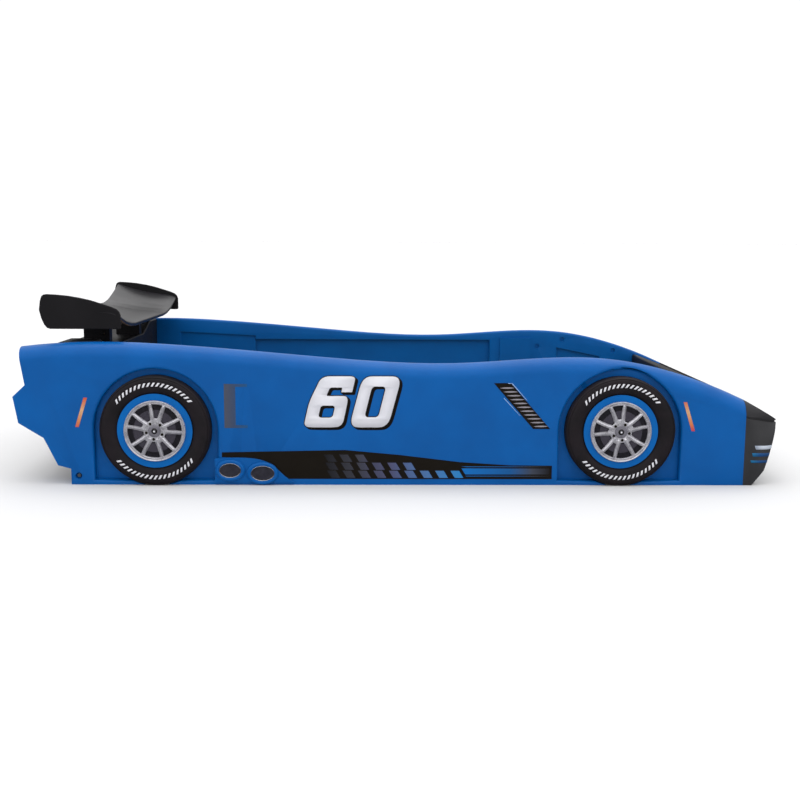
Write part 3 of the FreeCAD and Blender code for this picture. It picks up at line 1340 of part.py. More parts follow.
def decals():
    plates = number_decal()
    half_turn = Rotation(Vector(0, 0, 1), 180)
    made = [
        group("right_number_decal", [(plate, "0", "0", "0", Rotation()) for plate in plates]),
        group("left_number_decal", [(plate, "2 * number_x", "0", "0", half_turn) for plate in plates]),
    ]
    right = [
        decal("right_stripe_decal", [
            ("stripe_rear_x", "stripe_rear_z"),
            ("stripe_rear_x", "stripe_tail_z"),
            ("stripe_hook_x", "stripe_hook_z"),
            ("stripe_heel_x", "stripe_heel_z"),
            ("stripe_heel_x + 26", "stripe_low_z"),
            ("stripe_front_x", "stripe_low_z"),
            ("stripe_front_x", "stripe_front_z"),
            ("stripe_front_x - 132", "stripe_front_z + 1"),
            ("stripe_front_x - 289", "stripe_front_z + 11"),
            ("0", "(stripe_front_z + stripe_crown_z) / 2 + 9"),
            ("stripe_crown_x", "stripe_crown_z"),
        ]),
        decal("right_vent_decal", [
            ("vent_rear_x", "vent_top_z"),
            ("vent_rear_x + vent_lean", "vent_low_z"),
            ("vent_rear_x + vent_lean + vent_width", "vent_low_z"),
            ("vent_rear_x + vent_width", "vent_top_z"),
        ]),
        decal("right_door_mark", [
            ("mark_rear_x", "mark_low_z"),
            ("mark_arm_x", "mark_low_z"),
            ("mark_arm_x", "mark_low_z + mark_arm"),
            ("mark_front_x", "mark_low_z + mark_arm"),
            ("mark_front_x", "mark_top_z - mark_arm"),
            ("mark_arm_x", "mark_top_z - mark_arm"),
            ("mark_arm_x", "mark_top_z"),
            ("mark_rear_x", "mark_top_z"),
        ]),
    ]
    rear_lamp = decal("rear_lamp", leaning("lamp_rear_x", "lamp_low_z", "lamp_width", "lamp_height", "lamp_lean"))
    front_lamp = decal("front_lamp", leaning("lamp_front_x", "lamp_front_low_z", "-lamp_width", "lamp_height",
                                             "-lamp_lean"))
    right.append(group("right_side_lamps", [(lamp, "0", "0", "0", Rotation()) for lamp in (rear_lamp, front_lamp)]))
    made += right + [mirrored(piece.Label.replace("right", "left"), piece) for piece in right]
    return made + [windscreen_decal(), bumper_decal()]


def windscreen_decal():
    """A dark film lying on the hood's slope."""
    body = new_body("windscreen_decal")
    flat = sketch(body, "XZ")
    slope = "(hood_front_z - hood_rear_z) / (nose_seam_x - bay_front_x)"
    rear, front = "(bay_front_x + glass_margin)", "(nose_seam_x - glass_margin / 3)"
    rear_z = "hood_rear_z + (%s - bay_front_x) * %s" % (rear, slope)
    front_z = "hood_rear_z + (%s - bay_front_x) * %s" % (front, slope)
    polygon(flat, [(rear, rear_z), (front, front_z), (front, front_z + " + decal_film"),
                   (rear, rear_z + " + decal_film")])
    pad(body, flat, "bay_width - 2 * glass_margin", middle=True)
    return body


def bumper_decal():
    """A film on the leaning face of the bumper."""
    body = new_body("bumper_decal")
    flat = sketch(body, "XZ")
    slope = "(bumper_face_x - bumper_chin_x) / (bumper_face_z - bumper_chin_z)"
    low_x = "bumper_chin_x + (badge_low_z - bumper_chin_z) * " + slope
    top_x = "bumper_chin_x + (badge_top_z - bumper_chin_z) * " + slope
    polygon(flat, [(low_x, "badge_low_z"), (low_x + " + decal_film", "badge_low_z"),
                   (top_x + " + decal_film", "badge_top_z"), (top_x, "badge_top_z")])
    pad(body, flat, "2 * badge_half", middle=True)
    return body


# ---------------------------------------------------------------- the whole bed


def whole_bed():
    right = [side_panel(), wing_post(), exhaust_tips(), side_rail()]
    for centre_x, turn, end in WHEELS:
        right.append(tyre("right_%s_tyre" % end, centre_x))
        right.append(wheel_disc("right_%s_wheel_disc" % end, centre_x))
        right.append(wheel_trim("right_%s_wheel_trim" % end, centre_x, turn))
    pieces = right + [mirrored(piece.Label.replace("right", "left"), piece) for piece in right]
    pieces += [tail_body(), wing(), hood(), front_bumper()]
    pieces += [centre_beam(), beam_brackets(), beam_legs(), leg_feet()]
    pieces += [slat("slat_%02d" % place, x) for place, x in enumerate(slat_centres(), 1)]
    pieces += fastener_groups() + decals()
    return pieces


nodes = whole_bed()
doc.recompute()
for item in doc.Objects:
    if "Invalid" in item.State or "Error" in item.State:
        raise ValueError("%s did not build" % item.Label)
for node in nodes:
    if node.Shape.isNull() or not node.Shape.isValid():
        raise ValueError("%s has no sound shape" % node.Label)
for node in nodes:
    node.Shape.exportStep("parts/%s.step" % node.Label)
print("%d nodes" % len(nodes))
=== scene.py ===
import math

import bmesh
import bpy
from mathutils import Matrix, Vector


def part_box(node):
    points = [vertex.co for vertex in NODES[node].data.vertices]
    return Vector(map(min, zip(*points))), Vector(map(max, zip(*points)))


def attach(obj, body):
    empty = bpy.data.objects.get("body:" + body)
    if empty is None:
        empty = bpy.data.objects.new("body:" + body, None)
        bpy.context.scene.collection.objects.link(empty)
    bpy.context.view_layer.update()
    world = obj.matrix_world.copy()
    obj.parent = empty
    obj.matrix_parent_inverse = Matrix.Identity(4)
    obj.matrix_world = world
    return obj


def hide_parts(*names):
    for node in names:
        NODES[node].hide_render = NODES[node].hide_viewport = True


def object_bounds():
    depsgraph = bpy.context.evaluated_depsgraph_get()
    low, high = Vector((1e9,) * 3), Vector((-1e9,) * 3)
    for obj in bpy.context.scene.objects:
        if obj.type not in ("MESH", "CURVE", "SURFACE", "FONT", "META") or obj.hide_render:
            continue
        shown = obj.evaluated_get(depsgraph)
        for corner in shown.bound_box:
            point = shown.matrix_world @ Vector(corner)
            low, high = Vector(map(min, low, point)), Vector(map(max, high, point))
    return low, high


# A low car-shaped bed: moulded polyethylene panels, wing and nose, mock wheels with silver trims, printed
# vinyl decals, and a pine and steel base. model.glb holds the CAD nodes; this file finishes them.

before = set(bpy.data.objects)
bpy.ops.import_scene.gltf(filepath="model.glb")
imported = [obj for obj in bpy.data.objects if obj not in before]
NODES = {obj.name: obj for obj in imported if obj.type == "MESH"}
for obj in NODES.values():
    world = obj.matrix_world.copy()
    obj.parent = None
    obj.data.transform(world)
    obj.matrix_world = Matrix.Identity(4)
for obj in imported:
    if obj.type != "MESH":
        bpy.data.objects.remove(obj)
CAD_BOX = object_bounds()

MM = 0.001
SIDES = (("right", -1), ("left", 1))
ENDS = ("rear", "front")


# ---------------------------------------------------------------- finishes


def hex_colour(code, alpha=1.0):
    """An sRGB hex colour as the linear values that a shader takes."""
    channels = [int(code[place:place + 2], 16) / 255 for place in (1, 3, 5)]
    linear = [c / 12.92 if c <= 0.04045 else ((c + 0.055) / 1.055) ** 2.4 for c in channels]
    return (*linear, alpha)


def add(tree, kind, settings=None, links=None):
    """A node with its settings and its links: socket name or place to another node's output."""
    made = tree.nodes.new(kind)
    for name, value in (settings or {}).items():
        if isinstance(name, str) and hasattr(made, name):
            setattr(made, name, value)
        else:
            made.inputs[name].default_value = value
    for name, source in (links or {}).items():
        tree.links.new(source, made.inputs[name])
    return made


def new_finish(name, **surface):
    """A material with one Principled surface whose steady values sit on its own sockets."""
    material = bpy.data.materials.new(name)
    material.use_nodes = True
    tree = material.node_tree
    shader = tree.nodes["Principled BSDF"]
    for socket, value in surface.items():
        shader.inputs[socket.replace("_", " ")].default_value = value
    return material, tree, shader


# places of the colour sockets on a Mix node
MIX_SHARE, MIX_FIRST, MIX_SECOND, MIX_RESULT = 0, 6, 7, 2


def moulded(name, code, dark_code, roughness, grain_mm=1.2, grain_depth=0.05, mottle_mm=140, gloss=0.13):
    """Rotationally moulded polyethylene: a waxy satin skin with a fine cast-in grain and faint flow marks.

    Its real grain is about 0.4 mm; it is drawn coarser so that it shows.
    """
    finish, tree, shader = new_finish(name, Roughness=roughness, IOR=1.5, Specular_IOR_Level=gloss)
    place = add(tree, "ShaderNodeTexCoord").outputs["Object"]
    flow = add(tree, "ShaderNodeTexNoise", {"Scale": 1000 / mottle_mm, "Detail": 3.0}, {"Vector": place})
    spread = add(tree, "ShaderNodeMapRange", {"From Min": 0.35, "From Max": 0.65}, {"Value": flow.outputs[0]})
    colour = add(tree, "ShaderNodeMix", {"data_type": "RGBA", MIX_FIRST: hex_colour(code),
                                         MIX_SECOND: hex_colour(dark_code)}, {MIX_SHARE: spread.outputs[0]})
    tree.links.new(colour.outputs[MIX_RESULT], shader.inputs["Base Color"])
    sheen = add(tree, "ShaderNodeMapRange", {"To Min": roughness - 0.04, "To Max": roughness + 0.05},
                {"Value": flow.outputs[0]})
    tree.links.new(sheen.outputs[0], shader.inputs["Roughness"])
    grain = add(tree, "ShaderNodeTexNoise", {"Scale": 1000 / grain_mm, "Detail": 2.0}, {"Vector": place})
    bump = add(tree, "ShaderNodeBump", {"Strength": grain_depth, "Distance": 0.3 * MM},
               {"Height": grain.outputs[0]})
    tree.links.new(bump.outputs[0], shader.inputs["Normal"])
    return finish


def printed(name, code, dark_code, roughness=0.35, cell_mm=0.9, cloud_mm=60, gloss=0.15):
    """Screen-printed vinyl film: an even ink with a fine dot structure under a thin gloss.

    Its real dots are finer; they are drawn coarser so that they show.
    """
    finish, tree, shader = new_finish(name, Roughness=roughness, IOR=1.45, Specular_IOR_Level=gloss)
    place = add(tree, "ShaderNodeTexCoord").outputs["Object"]
    dots = add(tree, "ShaderNodeTexVoronoi", {"Scale": 1000 / cell_mm}, {"Vector": place})
    cloud = add(tree, "ShaderNodeTexNoise", {"Scale": 1000 / cloud_mm, "Detail": 2.0}, {"Vector": place})
    share = add(tree, "ShaderNodeMath", {"operation": "MULTIPLY"},
                {0: dots.outputs["Distance"], 1: cloud.outputs[0]})
    colour = add(tree, "ShaderNodeMix", {"data_type": "RGBA", MIX_FIRST: hex_colour(code),
                                         MIX_SECOND: hex_colour(dark_code)}, {MIX_SHARE: share.outputs[0]})
    tree.links.new(colour.outputs[MIX_RESULT], shader.inputs["Base Color"])
    return finish


def lacquer(name, code, dark_code, metallic=0.55, roughness=0.36, flake_mm=1.6, cloud_mm=18):
    """Silver lacquer sprayed over moulded ABS: small flakes that break up a soft metallic glow.

    Its real flakes are finer; they are drawn coarser so that they show.
    """
    finish, tree, shader = new_finish(name, Metallic=metallic, Roughness=roughness)
    place = add(tree, "ShaderNodeTexCoord").outputs["Object"]
    flakes = add(tree, "ShaderNodeTexVoronoi", {"Scale": 1000 / flake_mm}, {"Vector": place})
    uneven = add(tree, "ShaderNodeTexNoise", {"Scale": 1000 / cloud_mm, "Detail": 4.0}, {"Vector": place})
    share = add(tree, "ShaderNodeMath", {"operation": "MULTIPLY"},
                {0: flakes.outputs["Distance"], 1: uneven.outputs[0]})
    spread = add(tree, "ShaderNodeMapRange", {"From Min": 0.1, "From Max": 0.5}, {"Value": share.outputs[0]})
    colour = add(tree, "ShaderNodeMix", {"data_type": "RGBA", MIX_FIRST: hex_colour(code),
                                         MIX_SECOND: hex_colour(dark_code)}, {MIX_SHARE: spread.outputs[0]})
    tree.links.new(colour.outputs[MIX_RESULT], shader.inputs["Base Color"])
    return finish


def metal(name, code, dark_code, roughness, brush_mm=0.6):
    """Plated or oxide steel: fine drawn lines that soften its shine, drawn coarser so that they show."""
    finish, tree, shader = new_finish(name, Metallic=1.0, Roughness=roughness)
    place = add(tree, "ShaderNodeTexCoord").outputs["Object"]
    stretch = add(tree, "ShaderNodeMapping", {"Scale": (1.0, 1.0, 0.08)}, {"Vector": place})
    lines = add(tree, "ShaderNodeTexNoise", {"Scale": 1000 / brush_mm, "Detail": 3.0},
                {"Vector": stretch.outputs[0]})
    colour = add(tree, "ShaderNodeMix", {"data_type": "RGBA", MIX_FIRST: hex_colour(code),
                                         MIX_SECOND: hex_colour(dark_code)}, {MIX_SHARE: lines.outputs[0]})
    tree.links.new(colour.outputs[MIX_RESULT], shader.inputs["Base Color"])
    bump = add(tree, "ShaderNodeBump", {"Strength": 0.08, "Distance": 0.1 * MM}, {"Height": lines.outputs[0]})
    tree.links.new(bump.outputs[0], shader.inputs["Normal"])
    return finish


def powder_coat(peel_mm=1.8):
    """Black powder coat baked on steel: a satin film with a fine orange peel."""
    finish, tree, shader = new_finish("frame_powder_coat", Roughness=0.42, IOR=1.5)
    place = add(tree, "ShaderNodeTexCoord").outputs["Object"]
    peel = add(tree, "ShaderNodeTexNoise", {"Scale": 1000 / peel_mm, "Detail": 1.0}, {"Vector": place})
    colour = add(tree, "ShaderNodeMix", {"data_type": "RGBA", MIX_FIRST: hex_colour("#232325"),
                                         MIX_SECOND: hex_colour("#2f2f32")}, {MIX_SHARE: peel.outputs[0]})
    tree.links.new(colour.outputs[MIX_RESULT], shader.inputs["Base Color"])
    bump = add(tree, "ShaderNodeBump", {"Strength": 0.25, "Distance": 0.2 * MM}, {"Height": peel.outputs[0]})
    tree.links.new(bump.outputs[0], shader.inputs["Normal"])
    return finish


def pine(ring_mm=9, tone_mm=160):
    """Planed pine: pale straw wood whose growth rings run as long darker streaks along each slat."""
    finish, tree, shader = new_finish("slat_planed_pine", Roughness=0.55, IOR=1.5)
    place = add(tree, "ShaderNodeTexCoord").outputs["Object"]
    along = add(tree, "ShaderNodeMapping", {"Scale": (1.0, 0.06, 1.0)}, {"Vector": place})
    rings = add(tree, "ShaderNodeTexNoise", {"Scale": 1000 / ring_mm, "Detail": 6.0, "Distortion": 1.2},
                {"Vector": along.outputs[0]})
    streak = add(tree, "ShaderNodeMapRange", {"From Min": 0.4, "From Max": 0.62}, {"Value": rings.outputs[0]})
    tone = add(tree, "ShaderNodeTexNoise", {"Scale": 1000 / tone_mm, "Detail": 1.0}, {"Vector": place})
    light = add(tree, "ShaderNodeMix", {"data_type": "RGBA", MIX_FIRST: hex_colour("#dcb98a"),
                                        MIX_SECOND: hex_colour("#cda672")}, {MIX_SHARE: tone.outputs[0]})
    colour = add(tree, "ShaderNodeMix", {"data_type": "RGBA", MIX_SECOND: hex_colour("#a9783f")},
                 {MIX_SHARE: streak.outputs[0], MIX_FIRST: light.outputs[MIX_RESULT]})
    tree.links.new(colour.outputs[MIX_RESULT], shader.inputs["Base Color"])
    bump = add(tree, "ShaderNodeBump", {"Strength": 0.2, "Distance": 0.2 * MM}, {"Height": rings.outputs[0]})
    tree.links.new(bump.outputs[0], shader.inputs["Normal"])
    return finish


def graded(name, axis, low_mm, high_mm, stops, roughness=0.35, dot_mm=1.1):
    """Digitally printed vinyl whose ink changes along the car (axis 0) or up its height (axis 2)."""
    finish, tree, shader = new_finish(name, Roughness=roughness, IOR=1.45, Specular_IOR_Level=0.15)
    place = add(tree, "ShaderNodeTexCoord").outputs["Object"]
    parts = add(tree, "ShaderNodeSeparateXYZ", {}, {0: place})
    share = add(tree, "ShaderNodeMapRange", {"From Min": low_mm * MM, "From Max": high_mm * MM},
                {"Value": parts.outputs[axis]})
    ramp = add(tree, "ShaderNodeValToRGB", {}, {0: share.outputs[0]})
    points = ramp.color_ramp.elements
    while len(points) < len(stops):
        points.new(0.5)
    for point, (where, code) in zip(points, stops):
        point.position = where
        point.color = hex_colour(code)
    dots = add(tree, "ShaderNodeTexVoronoi", {"Scale": 1000 / dot_mm}, {"Vector": place})
    darker = add(tree, "ShaderNodeMapRange", {"To Max": 0.25}, {"Value": dots.outputs["Distance"]})
    colour = add(tree, "ShaderNodeMix", {"data_type": "RGBA", MIX_SECOND: hex_colour("#15151a")},
                 {MIX_SHARE: darker.outputs[0], MIX_FIRST: ramp.outputs[0]})
    tree.links.new(colour.outputs[MIX_RESULT], shader.inputs["Base Color"])
    return finish


FINISH = {
    "blue": moulded("body_blue_polyethylene", "#0057a0", "#005197", 0.36, gloss=0.17),
    "disc_blue": moulded("disc_blue_polyethylene", "#0062ae", "#005aa4", 0.4),
    "black": moulded("trim_black_polyethylene", "#1d1c1e", "#19181a", 0.4, grain_mm=1.0, grain_depth=0.1),
    "nose_black": moulded("nose_black_polyethylene", "#363638", "#303032", 0.5, grain_mm=1.0,
                          grain_depth=0.1),
    "wing_black": moulded("wing_black_polyethylene", "#232225", "#1d1c1f", 0.3, grain_mm=1.0, gloss=0.36),
    "tyre": moulded("tyre_black_moulded", "#221d21", "#1b191c", 0.55, grain_depth=0.12, mottle_mm=60),
    "silver": lacquer("trim_silver_lacquer", "#dad9df", "#908e99"),
    "cap_silver": lacquer("cap_dark_lacquer", "#8a8891", "#66646e", 0.4, 0.42),
    "brake": printed("wheel_print_dark", "#141317", "#2e2c34", 0.5, cell_mm=6),
    "brake_disc": printed("wheel_print_disc", "#403d46", "#2c2a32", 0.45, cell_mm=5),
    "chrome": metal("exhaust_chromed_plastic", "#e4e6ea", "#c3c6cc", 0.16, brush_mm=2.0),
    "exhaust_face": moulded("exhaust_face_matt", "#33323b", "#2b2a32", 0.5, grain_mm=2.2, grain_depth=0.3,
                            mottle_mm=15),
    "steel": powder_coat(),
    "pine": pine(),
    "zinc": metal("screw_zinc_plate", "#c9cacc", "#a7a9ad", 0.3),
    "oxide": metal("bolt_black_oxide", "#4a4a4d", "#333336", 0.4),
    "foot": moulded("foot_black_nylon", "#242426", "#1e1e20", 0.5, mottle_mm=30),
    "white_print": printed("number_white_vinyl", "#dcdce2", "#bfc0ca"),
    "mark_white": printed("sidewall_white_vinyl", "#dfdfe4", "#c8c8d0"),
    "ink_black": printed("print_black_vinyl", "#18140f", "#201c18"),
    "ink_sky": printed("print_sky_vinyl", "#a0c0ec", "#86aadc"),
    "louvre": printed("vent_louvre_vinyl", "#96929a", "#6e6b73"),
    "mark_grey": graded("print_mid_grey_vinyl", 0, -545, -473,
                        ((0, "#51535f"), (0.4, "#3f4e6a"), (1, "#245686"))),
    "check_fade": graded("print_check_vinyl", 0, -240, 190,
                         ((0, "#1d1d20"), (0.25, "#40414a"), (0.5, "#525576"), (0.75, "#4f76ac"),
                          (1, "#2f86c8"))),
    "bar_fade": graded("print_bar_vinyl", 0, 190, 470,
                       ((0, "#0f72c4"), (0.55, "#1a5c9c"), (0.8, "#444a58"), (1, "#221f21"))),
    "lamp_print": graded("print_lamp_vinyl", 2, 173, 274,
                         ((0, "#c03c58"), (0.2, "#d0764e"), (0.6, "#d6a880"), (1, "#cf553c"))),
    "bar_pale": graded("print_pale_bar_vinyl", 0, 1105, 1195,
                       ((0, "#8c98ae"), (0.4, "#c4ccd8"), (1, "#98a4b4"))),
    "bar_blue": graded("print_blue_bar_vinyl", 0, 1105, 1195,
                       ((0, "#1c6f9c"), (0.3, "#1c4a80"), (1, "#23344f"))),
}


# ---------------------------------------------------------------- shared ways of making pieces


def finished(name, mesh_bm, finish, nodes=(), smooth_degrees=None, extra=()):
    """Turn a bmesh into a piece that rides on the bed and stands for the given CAD nodes."""
    mesh = bpy.data.meshes.new(name)
    mesh_bm.to_mesh(mesh)
    mesh_bm.free()
    for one in (finish, *extra):
        mesh.materials.append(FINISH[one])
    if smooth_degrees is not None:
        mesh.shade_smooth()
        mesh.set_sharp_from_angle(angle=math.radians(smooth_degrees))
    piece = bpy.data.objects.new(name, mesh)
    bpy.context.scene.collection.objects.link(piece)
    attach(piece, "root")
    if nodes:
        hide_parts(*nodes)
    return piece


def merged_copy(node):
    """The CAD node's surface as one joined mesh."""
    bm = bmesh.new()
    bm.from_mesh(NODES[node].data)
    bmesh.ops.remove_doubles(bm, verts=bm.verts, dist=0.02 * MM)
    return bm


def resurfaced(node, finish, angle=35):
    """A CAD node with its round stretches shaded smooth and its corners kept."""
    return finished(node + "_skin", merged_copy(node), finish, [node], angle)


def plate(bm, outline, y_low, y_high):
    """A flat plate with an outline of (x, z) places, between two distances from the middle of the car."""
    face = bm.faces.new([bm.verts.new((x, y_low, z)) for x, z in outline])
    raised = bmesh.ops.extrude_face_region(bm, geom=[face])
    verts = [item for item in raised["geom"] if isinstance(item, bmesh.types.BMVert)]
    bmesh.ops.translate(bm, verts=verts, vec=(0, y_high - y_low, 0))


def outwards(bm):
    """Turn every face of a closed mesh outwards."""
    bmesh.ops.recalc_face_normals(bm, faces=bm.faces)
    return bm


# ---------------------------------------------------------------- first dressing of the CAD nodes


def dress(node, finish):
    """Give a CAD node its finish."""
    NODES[node].data.materials.clear()
    NODES[node].data.materials.append(FINISH[finish])


for name in NODES:
    if name.startswith("slat_") and name != "slat_screws":
        dress(name, "pine")
    elif name.endswith("side_rail") or name in ("centre_beam", "beam_brackets", "beam_legs"):
        dress(name, "steel")
    elif name == "leg_feet":
        dress(name, "foot")
    elif name.endswith("_screws") or name in ("rail_bolts", "tail_bolts"):
        dress(name, "zinc")
    elif name.endswith("_bolts"):
        dress(name, "oxide")


# ---------------------------------------------------------------- moulded bodies


def softened(piece, width_mm, degrees, segments=2):
    """Round the sharp mould edges of a piece."""
    bevel = piece.modifiers.new("mould_edges", "BEVEL")
    bevel.width = width_mm * MM
    bevel.segments = segments
    bevel.limit_method = "ANGLE"
    bevel.angle_limit = math.radians(degrees)
    bevel.use_clamp_overlap = True
    bevel.harden_normals = False
    return piece


def flattened_copy(node):
    """The CAD node's surface with its flat areas joined into single faces."""
    bm = merged_copy(node)
    bmesh.ops.dissolve_limit(bm, angle_limit=math.radians(0.4), verts=bm.verts, edges=bm.edges)
    return bm


for side, sign in SIDES:
    panel = finished(side + "_panel_moulding", flattened_copy(side + "_side_panel"), "blue",
                     [side + "_side_panel"], 30)
    softened(panel, 1.6, 50)
    resurfaced(side + "_wing_post", "black")
resurfaced("tail_body", "black")
resurfaced("hood", "black")


GROOVE_SLOPE = math.radians(9.5)
GROOVE_NORMAL = Vector((math.sin(GROOVE_SLOPE), 0, math.cos(GROOVE_SLOPE)))
GROOVE_DROP = 47 * MM
GROOVE_WIDTH = 7 * MM
GROOVE_DEPTH = 6 * MM
GROOVE_RIM = 0.5 * MM
NOSE_EDGE = 3 * MM
OUTSIDE_AHEAD = 0.4
OUTSIDE_LEVEL = 0.6


def sharp_edges(bm, degrees):
    """The edges whose two faces meet at more than an angle."""
    limit = math.radians(degrees)
    return [edge for edge in bm.edges if edge.is_manifold and edge.calc_face_angle(0.0) > limit]


def faces_out(face, sign=None):
    """Whether a face of the nose moulding is on its outside: to the front or to a side of the car."""
    side = math.copysign(1.0, face.calc_center_median().y) if sign is None else sign
    return face.normal.x + side * face.normal.y > OUTSIDE_AHEAD and abs(face.normal.z) < OUTSIDE_LEVEL


def bumper_moulding():
    """The nose moulding with softened edges and the groove round it under its brow."""
    bm = flattened_copy("front_bumper")
    low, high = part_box("front_bumper")
    bmesh.ops.bevel(bm, geom=sharp_edges(bm, 40), offset=NOSE_EDGE, offset_type="OFFSET", segments=3,
                    profile=0.5, affect="EDGES", material=-1, clamp_overlap=True)
    seat = Vector((low.x, 0, high.z - GROOVE_DROP))
    for shift in (0, -GROOVE_WIDTH):
        bmesh.ops.bisect_plane(bm, geom=bm.verts[:] + bm.edges[:] + bm.faces[:], dist=1e-6,
                               plane_co=seat + GROOVE_NORMAL * shift, plane_no=GROOVE_NORMAL)
    band = []
    for face in bm.faces:
        height = (face.calc_center_median() - seat).dot(GROOVE_NORMAL)
        if -GROOVE_WIDTH < height < 0 and faces_out(face):
            band.append(face)
    bmesh.ops.inset_region(bm, faces=band, thickness=GROOVE_RIM, depth=-GROOVE_DEPTH)
    return bm


# films round the nose's corners: finish, height of the middle, half height, rear end
NOSE_BARS = (("bar_pale", 121, 6, 1116), ("bar_blue", 98, 5.5, 1108), ("bar_blue", 76, 4, 1104))
BAR_REACH = 150 * MM
BAR_LEAN = 0.35
FILM_THICK = 0.4


def nose_bars(side, sign):
    """Printed bars that run from the nose's side round its corner on to its face."""
    _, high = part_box("front_bumper")
    for row, (finish, middle, half, rear) in enumerate(NOSE_BARS):
        bm = merged_copy("front_bumper")
        cuts = ((((rear + BAR_LEAN * middle) * MM, 0, 0), (-1, 0, -BAR_LEAN)),
                ((0, 0, (middle + half) * MM), (0, 0, 1)),
                ((0, 0, (middle - half) * MM), (0, 0, -1)),
                ((0, sign * (high.y - BAR_REACH), 0), (0, -sign, 0)))
        for place, normal in cuts:
            bmesh.ops.bisect_plane(bm, geom=bm.verts[:] + bm.edges[:] + bm.faces[:], dist=1e-6,
                                   plane_co=place, plane_no=normal, clear_outer=True)
        hidden = [face for face in bm.faces if not faces_out(face, sign)]
        bmesh.ops.delete(bm, geom=hidden, context="FACES")
        film = finished("%s_nose_bar_%d" % (side, row), bm, finish, [], 40)
        thicken(film, FILM_THICK, 1)


def thicken(piece, thickness_mm, side=-1):
    """Give a sheet its thickness, inwards from its face (-1) or outwards (1)."""
    shell = piece.modifiers.new("thickness", "SOLIDIFY")
    shell.thickness = thickness_mm * MM
    shell.offset = side
    return piece


finished("bumper_moulding", bumper_moulding(), "nose_black", ["front_bumper"], 28)
for side, sign in SIDES:
    nose_bars(side, sign)


# ---------------------------------------------------------------- wing

WING_LOW, WING_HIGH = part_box("wing")
# outline of a fin: share of the wing's length from its rear, and share of its height
FIN_OUTLINE = ((0.0, 0.55), (0.015, 0.8), (0.035, 0.935), (0.06, 0.985), (0.095, 1.0), (0.22, 0.985),
               (0.355, 0.955), (0.5, 0.9), (0.64, 0.825), (0.83, 0.69), (0.9, 0.635), (0.955, 0.575),
               (0.985, 0.5), (1.0, 0.4), (1.0, 0.03), (0.985, 0.0), (0.13, 0.0), (0.09, 0.03), (0.055, 0.13),
               (0.022, 0.32))
FIN_THICK = 9 * MM
BLADE_THICK = 13
BLADE_REACH = 474
BLADE_REAR_INSET = 16 * MM
BLADE_FRONT_INSET = 7 * MM
BLADE_DISH = 10
BLADE_LIP = 5
BLADE_LIP_FROM = 0.9
# blade edges: distance from the middle, then rear and front heights above the bottom of the fin
BLADE_STATIONS = ((0, 41.5, 7.5), (236, 41.5, 7.5), (300, 50, 12), (360, 66, 21), (410, 82, 34),
                  (445, 93, 44), (462, 99, 51), (472, 104, 57))


def blade_height(y_mm, edge):
    """Height of the blade's rear (1) or front (2) edge at a distance from the middle, on a smooth line."""
    for here, there in zip(BLADE_STATIONS, BLADE_STATIONS[1:]):
        if y_mm <= there[0]:
            share = (y_mm - here[0]) / (there[0] - here[0])
            return here[edge] + (there[edge] - here[edge]) * share
    return BLADE_STATIONS[-1][edge]


def wing_blade():
    """The blade's top surface: dished along its chord, with its ends swept up to the fins."""
    bm = bmesh.new()
    across, chord = 96, 12
    bmesh.ops.create_grid(bm, x_segments=chord, y_segments=across, size=0.5)
    rear_x, front_x = WING_LOW.x + BLADE_REAR_INSET, WING_HIGH.x - BLADE_FRONT_INSET
    for vert in bm.verts:
        along = vert.co.x + 0.5
        y_mm = vert.co.y * 2 * BLADE_REACH
        rear, front = blade_height(abs(y_mm), 1), blade_height(abs(y_mm), 2)
        dish = BLADE_DISH * math.sin(math.pi * along) * (1 - 0.3 * along)
        height = rear + (front - rear) * along - dish
        lip = BLADE_LIP * max(0.0, (along - BLADE_LIP_FROM) / 0.1) ** 2
        vert.co = (rear_x + (front_x - rear_x) * along, y_mm * MM, WING_LOW.z + (height - lip) * MM)
    bmesh.ops.smooth_vert(bm, verts=[v for v in bm.verts if not v.is_boundary], factor=0.5, use_axis_z=True)
    outwards(bm)
    up = sum(face.normal.z for face in bm.faces)
    if up < 0:
        bmesh.ops.reverse_faces(bm, faces=bm.faces)
    return bm


def fins():
    """The two upright fins at the ends of the blade."""
    bm = bmesh.new()
    length, height = WING_HIGH.x - WING_LOW.x, WING_HIGH.z - WING_LOW.z
    outline = [(WING_LOW.x + length * a, WING_LOW.z + height * b) for a, b in FIN_OUTLINE]
    for side, sign in SIDES:
        plate(bm, outline, sign * (WING_HIGH.y - FIN_THICK), sign * WING_HIGH.y)
    return outwards(bm)


blade = finished("wing_blade", wing_blade(), "wing_black", ["wing"], 60)
thicken(blade, BLADE_THICK)
softened(blade, 4, 60, 3)
softened(finished("wing_fins", fins(), "black", ["wing"], 40), 3.5, 40, 4)


# ---------------------------------------------------------------- wheels

WHEEL_ANGLES = {"rear": 83.5, "front": 99.0}
PAIR_TURN = 72
SPOKE_SPREAD = 14.2
